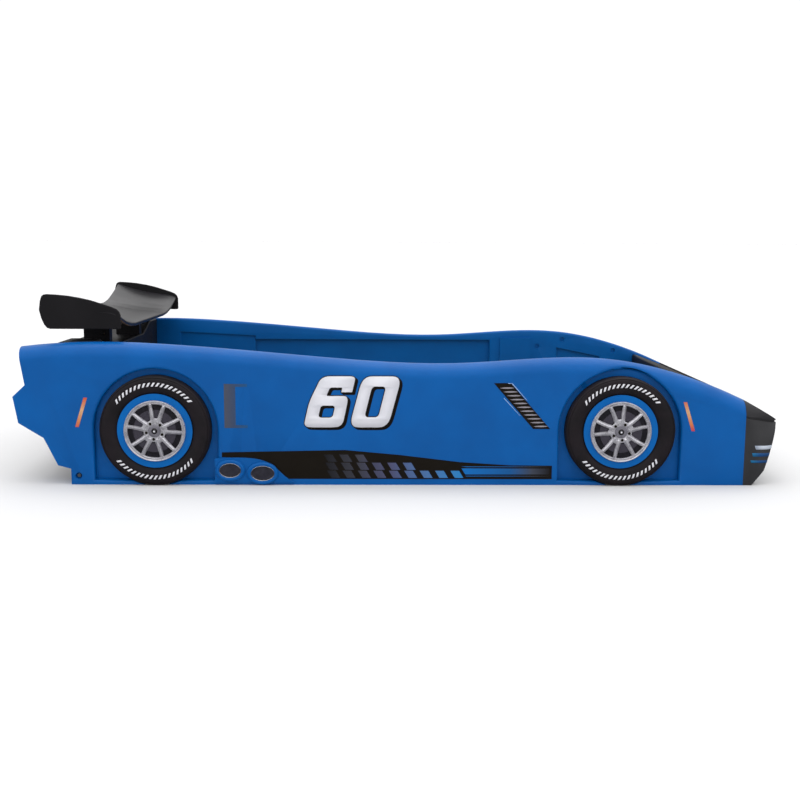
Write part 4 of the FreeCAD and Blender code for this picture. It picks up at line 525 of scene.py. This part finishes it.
# closed profiles and open ones that end on the axis: radius, and distance from the middle of the car
TYRE_PROFILE = ((116, 525.5), (116, 554), (119, 555.2), (121.5, 560.6), (128, 563.6), (136, 566),
                (145, 567.3), (153, 567), (160, 565.6), (163.2, 564.4), (163.9, 562.8), (165.3, 562.6),
                (166, 563.6), (168.5, 561.6), (170.8, 558), (172, 552), (172, 547), (170.6, 546.4),
                (170.6, 543.6), (172, 543), (172, 525.5))
RIM_PROFILE = ((95.5, 559.5), (95.5, 563.2), (94.4, 565.2), (92.8, 565.7), (91.4, 564.6), (90.4, 563.2),
               (88.8, 563.2), (87.6, 564.5), (85.6, 564.7), (84.2, 563.2), (83.2, 560.4), (83.2, 559.5))
BRAKE_PROFILE = ((38, 560.1), (38, 561), (41, 561), (41.4, 560.6), (42, 560.6), (42.4, 561), (50, 561),
                 (50.4, 560.6), (51, 560.6), (51.4, 561), (58, 561), (58.4, 560.6), (59, 560.6),
                 (59.4, 561), (66, 561), (66.4, 560.1))
BOLT_RING_PROFILE = ((4.6, 565), (4.6, 566), (8.8, 566), (9.3, 565))
HUB_PROFILE = ((0, 560), (33.5, 560), (34.5, 562.6), (33, 563.9), (22, 564.6), (20.6, 563.4), (0, 563.4))
CAP_PROFILE = ((0, 563.4), (19.6, 563.4), (19.4, 564.4), (17, 565.2), (11, 565.4), (0, 565.4))
BACKING_PROFILE = ((0, 559.5), (83.4, 559.5), (83.4, 560.1), (0, 560.1))
BOLT_CAP_PROFILE = ((0, 568.6), (3.0, 568.6), (3.0, 569.2), (2.4, 569.5), (0, 569.6))
LUG_RADIUS = 25.6
LUG_DEPTH = 564.3


def spun(bm, profile, closed, steps, material):
    """Spin a profile round the wheel's axis, and give its new faces a material."""
    corners = [bm.verts.new((radius, depth, 0)) for radius, depth in profile]
    following = corners[1:] + corners[:1] if closed else corners[1:]
    edges = [bm.edges.new(pair) for pair in zip(corners, following)]
    known = set(bm.faces)
    bmesh.ops.spin(bm, geom=corners + edges, cent=(0, 0, 0), axis=(0, 1, 0), angle=2 * math.pi, steps=steps,
                   use_merge=True)
    if not closed:
        on_axis = [vert for vert in bm.verts if math.hypot(vert.co.x, vert.co.z) < 1e-4]
        bmesh.ops.remove_doubles(bm, verts=on_axis, dist=1e-3)
    for face in bm.faces:
        if face not in known:
            face.material_index = material


def turned_ring(bm, profile, steps=128):
    """A ring from a closed profile."""
    spun(bm, profile, True, steps, 0)


def turned_disc(bm, profile, steps=96, material=0):
    """A disc from an open profile whose ends lie on the wheel's axis."""
    spun(bm, profile, False, steps, material)


def on_wheel(bm, side_sign, centre):
    """Move a mesh made in millimetres round the axis, depth outwards, to its wheel on one side of the car."""
    for vert in bm.verts:
        u, depth, v = vert.co
        vert.co = (centre.x + u * MM, side_sign * depth * MM, centre.z + v * MM)
    bmesh.ops.remove_doubles(bm, verts=bm.verts, dist=0.005 * MM)
    return outwards(bm)


def sidewall_depth(radius):
    """How far out the tyre's sidewall stands at a radius."""
    for here, there in zip(TYRE_PROFILE[1:], TYRE_PROFILE[2:]):
        if here[0] <= radius <= there[0]:
            return here[1] + (there[1] - here[1]) * (radius - here[0]) / (there[0] - here[0])
    return TYRE_PROFILE[-1][1]


# white strokes on the sidewall: first angle from the middle of the arc in degrees, and number of strokes
MARK_GROUPS = ((-50.5, 6), (-17, 7), (21.5, 6))
MARK_STEP = 5.6
MARK_WIDTH = 2.6
MARK_RADIUS = 145.5
MARK_HEIGHT = 12
MARK_LEAN = 3.0
MARK_RISE = 0.3


def sidewall_marks(bm):
    """Plain slanted strokes in three groups along the top and the bottom of the sidewall."""
    for middle in (90, 270):
        for first, count in MARK_GROUPS:
            for place in range(count):
                made = bmesh.ops.create_grid(bm, x_segments=2, y_segments=4, size=0.5)["verts"]
                for vert in made:
                    radius = MARK_RADIUS + vert.co.y * MARK_HEIGHT
                    angle = first + place * MARK_STEP + vert.co.x * MARK_WIDTH + vert.co.y * MARK_LEAN
                    turn = math.radians(middle - angle)
                    depth = sidewall_depth(radius) + MARK_RISE
                    vert.co = (radius * math.cos(turn), depth, radius * math.sin(turn))


# sections across one leg of a spoke pair, from its twin's side outwards: place and depth, at hub and at rim
SPOKE_HUB = ((-4.6, 560.8), (-3.0, 565.2), (2.2, 565.6), (4.4, 563.8), (10.0, 561.0))
SPOKE_RIM = ((-4.4, 560.8), (-2.6, 564.2), (2.0, 564.6), (3.8, 563.2), (7.4, 561.0))
SPOKE_FROM, SPOKE_TO = 24, 86
SPOKE_BOW = 1.6
SPOKE_COLUMNS = len(SPOKE_HUB) - 1


def spoke(bm, angle, hand):
    """One leg of a spoke pair: a raised ridge with a sloping flank on the side away from its twin."""
    made = bmesh.ops.create_grid(bm, x_segments=SPOKE_COLUMNS, y_segments=10, size=0.5)["verts"]
    turn = math.radians(angle + hand * SPOKE_SPREAD)
    ahead = Vector((math.cos(turn), 0, math.sin(turn)))
    beside = Vector((-math.sin(turn), 0, math.cos(turn))) * hand
    for vert in made:
        column = round((vert.co.x + 0.5) * SPOKE_COLUMNS)
        along = vert.co.y + 0.5
        across = SPOKE_HUB[column][0] * (1 - along) + SPOKE_RIM[column][0] * along
        depth = SPOKE_HUB[column][1] * (1 - along) + SPOKE_RIM[column][1] * along
        bow = -SPOKE_BOW * math.sin(math.pi * along)
        place = ahead * (SPOKE_FROM + (SPOKE_TO - SPOKE_FROM) * along) + beside * (across + bow)
        vert.co = (place.x, depth, place.z)


def hub(bm):
    """The round hub plate, with a darker cap in its middle."""
    turned_disc(bm, HUB_PROFILE)
    turned_disc(bm, CAP_PROFILE, material=1)


WEB_REACH = 40
WEB_HOLLOW = 12
WEB_FROM = 28
WEB_DEPTH = 564.6
WEB_FALL = 1.2


def webs(bm, angle):
    """The fillet between the two legs of each pair, round at its outer end."""
    for place in range(5):
        turn = math.radians(angle + place * PAIR_TURN)
        made = bmesh.ops.create_grid(bm, x_segments=8, y_segments=4, size=0.5)["verts"]
        for vert in made:
            across = vert.co.x * 2
            along = vert.co.y + 0.5
            spread = math.radians(SPOKE_SPREAD) * across
            reach = WEB_REACH + WEB_HOLLOW * across ** 4
            radius = WEB_FROM + (reach - WEB_FROM) * along
            depth = WEB_DEPTH - WEB_FALL * along
            vert.co = (radius * math.cos(turn + spread), depth, radius * math.sin(turn + spread))


def wheel(side, sign, end):
    """One mock wheel: tyre, strokes, trim, the print behind it, and its bolt."""
    tyre_node = "%s_%s_tyre" % (side, end)
    low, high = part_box(tyre_node)
    centre = (low + high) / 2
    stem = "%s_%s_" % (side, end)
    bm = bmesh.new()
    turned_ring(bm, TYRE_PROFILE)
    finished(stem + "tyre_moulding", on_wheel(bm, sign, centre), "tyre", [tyre_node], 50)
    bm = bmesh.new()
    sidewall_marks(bm)
    on_wheel(bm, sign, centre)
    marks = finished(stem + "sidewall_marks", facing(bm, sign), "mark_white", [], 60)
    thicken(marks, 0.25)
    angle = WHEEL_ANGLES[end]
    bm = bmesh.new()
    turned_ring(bm, RIM_PROFILE)
    hub(bm)
    on_wheel(bm, sign, centre)
    finished(stem + "rim", bm, "silver", [stem + "wheel_trim"], 30, ["cap_silver"])
    bm = bmesh.new()
    for place in range(5):
        for hand in (1, -1):
            spoke(bm, angle + place * PAIR_TURN, hand)
    webs(bm, angle)
    on_wheel(bm, sign, centre)
    spokes = finished(stem + "spokes", facing(bm, sign), "silver", [stem + "wheel_trim"], 24)
    thicken(spokes, 0.8)
    bm = bmesh.new()
    turned_disc(bm, BACKING_PROFILE)
    on_wheel(bm, sign, centre)
    finished(stem + "wheel_shadow", bm, "brake", [stem + "wheel_trim"], 30)
    bm = bmesh.new()
    turned_ring(bm, BRAKE_PROFILE)
    on_wheel(bm, sign, centre)
    finished(stem + "brake_disc", bm, "brake_disc", [stem + "wheel_trim"], 30)
    bm = bmesh.new()
    for place in range(5):
        turn = math.radians(angle + 36 + place * PAIR_TURN)
        seat = (LUG_RADIUS * math.cos(turn), LUG_DEPTH, LUG_RADIUS * math.sin(turn))
        outward = Matrix.Translation(seat) @ Matrix.Rotation(math.radians(-90), 4, "X")
        bmesh.ops.create_cone(bm, cap_ends=True, segments=24, radius1=4.6, radius2=4.3, depth=1.8,
                              matrix=outward)
    turned_ring(bm, BOLT_RING_PROFILE, 48)
    on_wheel(bm, sign, centre)
    finished(stem + "lug_holes", bm, "ink_black", [stem + "wheel_trim"], 30)
    bm = bmesh.new()
    turned_disc(bm, BOLT_CAP_PROFILE, 32)
    on_wheel(bm, sign, centre)
    finished(stem + "bolt_cap", bm, "white_print", [], 40)
    resurfaced(stem + "wheel_disc", "disc_blue", 30)


def facing(bm, sign):
    """Make every face of an open sheet look outwards from its side of the car."""
    turned = [face for face in bm.faces if face.normal.y * sign < 0]
    bmesh.ops.reverse_faces(bm, faces=turned)
    return bm


for side, sign in SIDES:
    for end in ENDS:
        wheel(side, sign, end)


# ---------------------------------------------------------------- exhausts


def oval(centre_x, centre_z, half_length, half_height, count=64):
    """The places round an oval."""
    return [(centre_x + half_length * math.cos(2 * math.pi * k / count),
             centre_z + half_height * math.sin(2 * math.pi * k / count)) for k in range(count)]


def oval_ring(bm, centre_x, centre_z, half_length, half_height, width, y_low, y_high):
    """A flat oval ring between two depths."""
    outer = [bm.verts.new((x, y_low, z)) for x, z in oval(centre_x, centre_z, half_length, half_height)]
    inner = [bm.verts.new((x, y_low, z))
             for x, z in oval(centre_x, centre_z, half_length - width, half_height - width)]
    loops = []
    for ring in (outer, inner):
        loops += [bm.edges.new(pair) for pair in zip(ring, ring[1:] + ring[:1])]
    flat = bmesh.ops.bridge_loops(bm, edges=loops)["faces"]
    raised = bmesh.ops.extrude_face_region(bm, geom=flat)
    verts = [item for item in raised["geom"] if isinstance(item, bmesh.types.BMVert)]
    bmesh.ops.translate(bm, verts=verts, vec=(0, y_high - y_low, 0))


# tips: centre X and Z, half length and half height, in millimetres
EXHAUST_TIPS = ((-529, 47, 34, 23), (-428, 38, 37, 24))
FAIRING = ((-577, 8), (-577, 84), (-530, 87), (-480, 86.5), (-445, 83), (-415, 74), (-392, 59), (-372, 40),
           (-355, 24), (-338, 13), (-330, 8))
FAIRING_THICK = 5 * MM
COLLAR_WIDTH = 12
COLLAR_THICK = 13 * MM


def smooth_outline(points, rounds=2):
    """Cut the corners of an open run of points, keeping its two ends."""
    for _ in range(rounds):
        cut = [points[0]]
        for here, there in zip(points, points[1:]):
            cut.append((here[0] * 0.75 + there[0] * 0.25, here[1] * 0.75 + there[1] * 0.25))
            cut.append((here[0] * 0.25 + there[0] * 0.75, here[1] * 0.25 + there[1] * 0.75))
        cut.append(points[-1])
        points = cut
    return points


PANEL_FACE = 549.5 * MM


def exhausts(side, sign):
    """Two mock tail pipes in rounded collars on a raised fairing."""
    bm = bmesh.new()
    outline = [(x * MM, z * MM) for x, z in [FAIRING[0]] + smooth_outline(FAIRING[1:])]
    plate(bm, outline, sign * PANEL_FACE, sign * (PANEL_FACE + FAIRING_THICK))
    fairing = finished(side + "_exhaust_fairing", outwards(bm), "blue", [], 40)
    softened(fairing, 4, 50, 4)
    bm = bmesh.new()
    for x, z, half_length, half_height in EXHAUST_TIPS:
        oval_ring(bm, x * MM, z * MM, (half_length + COLLAR_WIDTH) * MM, (half_height + COLLAR_WIDTH) * MM,
                  (COLLAR_WIDTH + 1) * MM, sign * PANEL_FACE, sign * (PANEL_FACE + COLLAR_THICK))
    collars = finished(side + "_exhaust_collars", outwards(bm), "blue", [], 40)
    softened(collars, 6, 50, 5)
    bm = bmesh.new()
    for x, z, half_length, half_height in EXHAUST_TIPS:
        oval_ring(bm, x * MM, z * MM, half_length * MM, half_height * MM, 2.0 * MM,
                  sign * (PANEL_FACE + 3 * MM), sign * (PANEL_FACE + 11 * MM))
    tips = [side + "_exhaust_tips"]
    rims = finished(side + "_exhaust_rims", outwards(bm), "chrome", tips, 40)
    softened(rims, 0.8, 50, 3)
    bm = bmesh.new()
    for x, z, half_length, half_height in EXHAUST_TIPS:
        flat = [(a * MM, b * MM) for a, b in oval(x, z, half_length - 1, half_height - 1)]
        plate(bm, flat, sign * (PANEL_FACE + 2 * MM), sign * (PANEL_FACE + 7.6 * MM))
    finished(side + "_exhaust_faces", outwards(bm), "exhaust_face", tips, 40)


for side, sign in SIDES:
    exhausts(side, sign)


# ---------------------------------------------------------------- printed decals


# digits as loops of corners: share of a digit's width, share of its height, and how far the corner is rounded
SIX = (((0.0, 0.0, 0.36), (0.96, 0.0, 0.4), (0.94, 0.62, 0.36), (0.4, 0.62, 0.05), (0.44, 0.77, 0.12),
        (0.72, 0.77, 0.06), (0.72, 0.68, 0.02), (1.0, 0.68, 0.03), (1.0, 1.0, 0.34), (0.16, 1.0, 0.5),
        (0.0, 0.5, 0.36)),
       ((0.32, 0.2, 0.16), (0.32, 0.42, 0.16), (0.65, 0.42, 0.16), (0.65, 0.2, 0.16)))
NOUGHT = (((0.0, 0.0, 0.46), (0.96, 0.0, 0.46), (1.0, 1.0, 0.46), (0.04, 1.0, 0.46)),
          ((0.33, 0.21, 0.17), (0.34, 0.79, 0.17), (0.66, 0.79, 0.17), (0.65, 0.21, 0.17)))
DIGIT_WIDTH, DIGIT_HEIGHT, DIGIT_STEP, DIGIT_SLANT = 128 * MM, 162 * MM, 142 * MM, 38 * MM


def corner_controls(corners):
    """Control points that round each corner of a loop: one before it, one on it and one after it."""
    controls = []
    for place, (x, z, radius) in enumerate(corners):
        here = Vector((x, z))
        before = Vector(corners[place - 1][:2]) - here
        after = Vector(corners[(place + 1) % len(corners)][:2]) - here
        controls += [here + before.normalized() * min(radius, before.length / 2), here,
                     here + after.normalized() * min(radius, after.length / 2)]
    return controls


def number_glyphs(swell):
    """The race number as a flat mesh, X along its line and Z up, its strokes swollen by a distance."""
    curve = bpy.data.curves.new("race_number", "CURVE")
    curve.dimensions = "2D"
    curve.fill_mode = "BOTH"
    curve.resolution_u = 6
    curve.offset = swell
    for place, digit in enumerate((SIX, NOUGHT)):
        for loop in digit:
            controls = corner_controls(loop)
            spline = curve.splines.new("NURBS")
            spline.points.add(len(controls) - 1)
            for point, (x, z) in zip(spline.points, controls):
                point.co = (place * DIGIT_STEP + x * DIGIT_WIDTH + z * DIGIT_SLANT, z * DIGIT_HEIGHT, 0, 1)
            spline.use_cyclic_u = True
            spline.order_u = 3
    drawn = bpy.data.objects.new("race_number", curve)
    bpy.context.scene.collection.objects.link(drawn)
    bpy.context.view_layer.update()
    mesh = bpy.data.meshes.new_from_object(drawn.evaluated_get(bpy.context.evaluated_depsgraph_get()))
    bm = bmesh.new()
    bm.from_mesh(mesh)
    bpy.data.objects.remove(drawn)
    bpy.data.curves.remove(curve)
    bpy.data.meshes.remove(mesh)
    bmesh.ops.remove_doubles(bm, verts=bm.verts, dist=0.01 * MM)
    bmesh.ops.transform(bm, matrix=Matrix.Rotation(math.radians(90), 4, "X"), verts=bm.verts)
    return bm


# layers of the number's print in millimetres: name, swell, shift along and up, finish, rise from the panel
NUMBER_LAYERS = (("shadow_low", 1.5, 7, -6, "ink_black", 0.05),
                 ("shadow_mid", 1.5, 4.7, -4, "ink_black", 0.15),
                 ("shadow_near", 1.5, 2.3, -2, "ink_black", 0.25),
                 ("outline", 1.5, 0, 0, "ink_black", 0.45),
                 ("face", -1.2, 0, 0, "white_print", 0.8))


def number_decal(side, sign):
    """The race number on one side: a white face, a thin black outline and a black drop shadow."""
    low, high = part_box(side + "_number_decal")
    for label, swell, shift_x, shift_z, finish, rise in NUMBER_LAYERS:
        bm = number_glyphs(swell * MM)
        for vert in bm.verts:
            along = vert.co.x + shift_x * MM
            x = low.x + along if sign < 0 else high.x - along
            vert.co = (x, sign * (PANEL_FACE + rise * MM), low.z + vert.co.z + shift_z * MM)
        bm.normal_update()
        piece = finished("%s_number_%s" % (side, label), facing(bm, sign), finish, [side + "_number_decal"])
        thicken(piece, FILM_THICK)


# heights of the base films' faces and of the inks on them, above the panel
FILM_FACE = 0.5 * MM
INK_FACE = 0.8 * MM
CHECK_THICK = 0.25 * MM
# the checks along the sill: height of each row above the floor, and its number of checks
CHECK_ROWS = ((22.5, 9), (48, 6), (73.5, 3))
CHECK_FIRST = -214
CHECK_ROW_SHIFT = 5
CHECK_PITCH = 48.3
CHECK_WIDTH = 27
CHECK_HEIGHT = 23
CHECK_LEAN = 14


def inked(bm, outline, sign):
    """A patch of ink on a film."""
    plate(bm, outline, sign * (PANEL_FACE + FILM_FACE), sign * (PANEL_FACE + INK_FACE))


def check(bm, x, z, sign):
    """One leaning check of the sill stripe; its top stands further back than its foot."""
    outline = [(x * MM, z * MM), ((x + CHECK_WIDTH) * MM, z * MM),
               ((x + CHECK_WIDTH - CHECK_LEAN) * MM, (z + CHECK_HEIGHT) * MM),
               ((x - CHECK_LEAN) * MM, (z + CHECK_HEIGHT) * MM)]
    plate(bm, outline, sign * (PANEL_FACE + INK_FACE - CHECK_THICK), sign * (PANEL_FACE + INK_FACE))


# the bar ahead of the checks and the thin lines below and above it
STRIPE_BARS = (((205, 34), (470, 34), (470, 53), (193, 53)),
               ((208, 27.5), (474, 27.5), (474, 29.5), (205, 29.5)),
               ((208, 57.5), (474, 57.5), (474, 59.5), (192, 59.5)))


def stripe_decal(side, sign):
    """The sill stripe: a black film with rows of checks, and a bar between two lines."""
    node = side + "_stripe_decal"
    finished(side + "_stripe_film", merged_copy(node), "ink_black", [node])
    bm = bmesh.new()
    for row, (z, count) in enumerate(CHECK_ROWS):
        for place in range(count):
            check(bm, CHECK_FIRST - row * CHECK_ROW_SHIFT + place * CHECK_PITCH, z, sign)
    finished(side + "_stripe_checks", outwards(bm), "check_fade", [node])
    bm = bmesh.new()
    for outline in STRIPE_BARS:
        inked(bm, [(x * MM, z * MM) for x, z in outline], sign)
    finished(side + "_stripe_bar", outwards(bm), "bar_fade", [node])


LOUVRES = 11
LOUVRE_FIRST = (41.5, 15.3)
LOUVRE_STEP = (10.7, 12.05)
LOUVRE_HALF = 23 * MM
# sky-blue edges of the vent: start and end from the film's rear top corner, and width at the start
VENT_EDGES = (((44, 0.5), (57, 1.5), 1.6), ((57, 1.5), (104, 54), 2.2), ((32, 47), (84, 103), 1.8))
EDGE_TAPER = 0.4


def vent_decal(side, sign):
    """The vent grille: a black film with grey louvres and sky-blue edges."""
    node = side + "_vent_decal"
    finished(side + "_vent_film", merged_copy(node), "ink_black", [node])
    low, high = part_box(node)
    bm = bmesh.new()
    half = LOUVRE_HALF
    for place in range(LOUVRES):
        x = low.x + (LOUVRE_FIRST[0] + LOUVRE_STEP[0] * place) * MM
        z = high.z - (LOUVRE_FIRST[1] + LOUVRE_STEP[1] * place) * MM
        outline = [(x - half, z), (x - half * 0.45, z + 1.9 * MM), (x + half * 0.2, z + 2.5 * MM),
                   (x + half * 0.7, z + 1.6 * MM), (x + half, z), (x + half * 0.6, z - 1.5 * MM),
                   (x, z - 2.2 * MM), (x - half * 0.6, z - 1.6 * MM)]
        inked(bm, outline, sign)
    finished(side + "_vent_louvres", outwards(bm), "louvre", [node])
    bm = bmesh.new()
    for (x0, z0), (x1, z1), wide in VENT_EDGES:
        start = Vector((low.x + x0 * MM, 0, high.z - z0 * MM))
        stop = Vector((low.x + x1 * MM, 0, high.z - z1 * MM))
        across = (stop - start).normalized().cross(Vector((0, 1, 0))) * wide * MM / 2
        corners = [start - across, start + across, stop + across * EDGE_TAPER, stop - across * EDGE_TAPER]
        inked(bm, [(corner.x, corner.z) for corner in corners], sign)
    finished(side + "_vent_edges", outwards(bm), "ink_sky", [node])


for side, sign in SIDES:
    number_decal(side, sign)
    stripe_decal(side, sign)
    vent_decal(side, sign)
    finished(side + "_door_mark_film", merged_copy(side + "_door_mark"), "mark_grey", [side + "_door_mark"])
    finished(side + "_side_lamp_films", merged_copy(side + "_side_lamps"), "lamp_print",
             [side + "_side_lamps"])
finished("windscreen_film", merged_copy("windscreen_decal"), "ink_black", ["windscreen_decal"])
finished("bumper_film", merged_copy("bumper_decal"), "ink_black", ["bumper_decal"])


# ---------------------------------------------------------------- stage


FLOOR_HALF = 300
BACKDROP_RADIUS = 250
BACKDROP_HEIGHT = 160
BACKDROP_GLOW = 1.05
FLOOR_GAP = 0.2 * MM
LAMP_POWER = 0.9


def staged(name, bm, finish):
    """A piece of the studio, which is not part of the bed."""
    mesh = bpy.data.meshes.new(name)
    bm.to_mesh(mesh)
    bm.free()
    mesh.materials.append(finish)
    piece = bpy.data.objects.new(name, mesh)
    piece.visible_glossy = False
    bpy.context.scene.collection.objects.link(piece)
    return piece


def studio():
    """A pale floor, a white backdrop all round, a ceiling that darkens towards the walls, and a lamp."""
    paper, _, shader = new_finish("studio_paper", Roughness=0.95, Specular_IOR_Level=0.0)
    shader.inputs["Base Color"].default_value = hex_colour("#d3d3d4")
    bm = bmesh.new()
    bmesh.ops.create_grid(bm, x_segments=1, y_segments=1, size=FLOOR_HALF)
    bmesh.ops.translate(bm, verts=bm.verts, vec=(0, 0, CAD_BOX[0][2] - FLOOR_GAP))
    staged("studio_floor", bm, paper)
    white, _, shader = new_finish("studio_white", Roughness=1.0, Specular_IOR_Level=0.0)
    shader.inputs["Base Color"].default_value = hex_colour("#000000")
    shader.inputs["Emission Color"].default_value = hex_colour("#ffffff")
    shader.inputs["Emission Strength"].default_value = BACKDROP_GLOW
    bm = bmesh.new()
    bmesh.ops.create_cone(bm, segments=96, radius1=BACKDROP_RADIUS, radius2=BACKDROP_RADIUS,
                          depth=BACKDROP_HEIGHT)
    bmesh.ops.reverse_faces(bm, faces=bm.faces)
    backdrop = staged("studio_backdrop", bm, white)
    backdrop.visible_transmission = False
    backdrop.visible_shadow = False
    world = bpy.data.worlds.new("studio")
    world.use_nodes = True
    tree = world.node_tree
    sky = add(tree, "ShaderNodeTexCoord").outputs["Generated"]
    parts = add(tree, "ShaderNodeSeparateXYZ", {}, {0: sky})
    rise = add(tree, "ShaderNodeMapRange", {"From Min": 0.05, "From Max": 0.6, "To Min": 0.1, "To Max": 1.5},
               {"Value": parts.outputs["Z"]})
    tree.links.new(rise.outputs[0], tree.nodes["Background"].inputs["Strength"])
    tree.nodes["Background"].inputs["Color"].default_value = (1.0, 1.0, 1.0, 1.0)
    bpy.context.scene.world = world
    sun = bpy.data.lights.new("overhead", "SUN")
    sun.energy = LAMP_POWER
    sun.angle = math.radians(50)
    lamp = bpy.data.objects.new("overhead", sun)
    lamp.rotation_euler = (math.radians(-6), math.radians(4), 0)
    bpy.context.scene.collection.objects.link(lamp)
    bpy.context.scene.view_settings.view_transform = "Standard"


CAMERA_PLACE = (-0.0596, -3.7978, 0.7635)
CAMERA_TURN = (1.036, 8.649, 0.31)
CAMERA_LENS = 47.7
CAMERA_SENSOR = 36


def camera():
    """A camera low beside the car's right side, turned a little to the nose and looking slightly down."""
    yaw, pitch, roll = (math.radians(angle) for angle in CAMERA_TURN)
    ahead = Vector((math.sin(yaw), math.cos(yaw), 0))
    right = Vector((math.cos(yaw), -math.sin(yaw), 0))
    up = Vector((0, 0, 1))
    view = ahead * math.cos(pitch) - up * math.sin(pitch)
    over = up * math.cos(pitch) + ahead * math.sin(pitch)
    side = right * math.cos(roll) + over * math.sin(roll)
    top = over * math.cos(roll) - right * math.sin(roll)
    lens = bpy.data.cameras.new("camera")
    lens.lens = CAMERA_LENS
    lens.sensor_width = CAMERA_SENSOR
    turn = Matrix((side, top, -view)).transposed().to_4x4()
    eye = bpy.data.objects.new("camera", lens)
    eye.matrix_world = Matrix.Translation(CAMERA_PLACE) @ turn
    bpy.context.scene.collection.objects.link(eye)
    bpy.context.scene.camera = eye


studio()
camera()
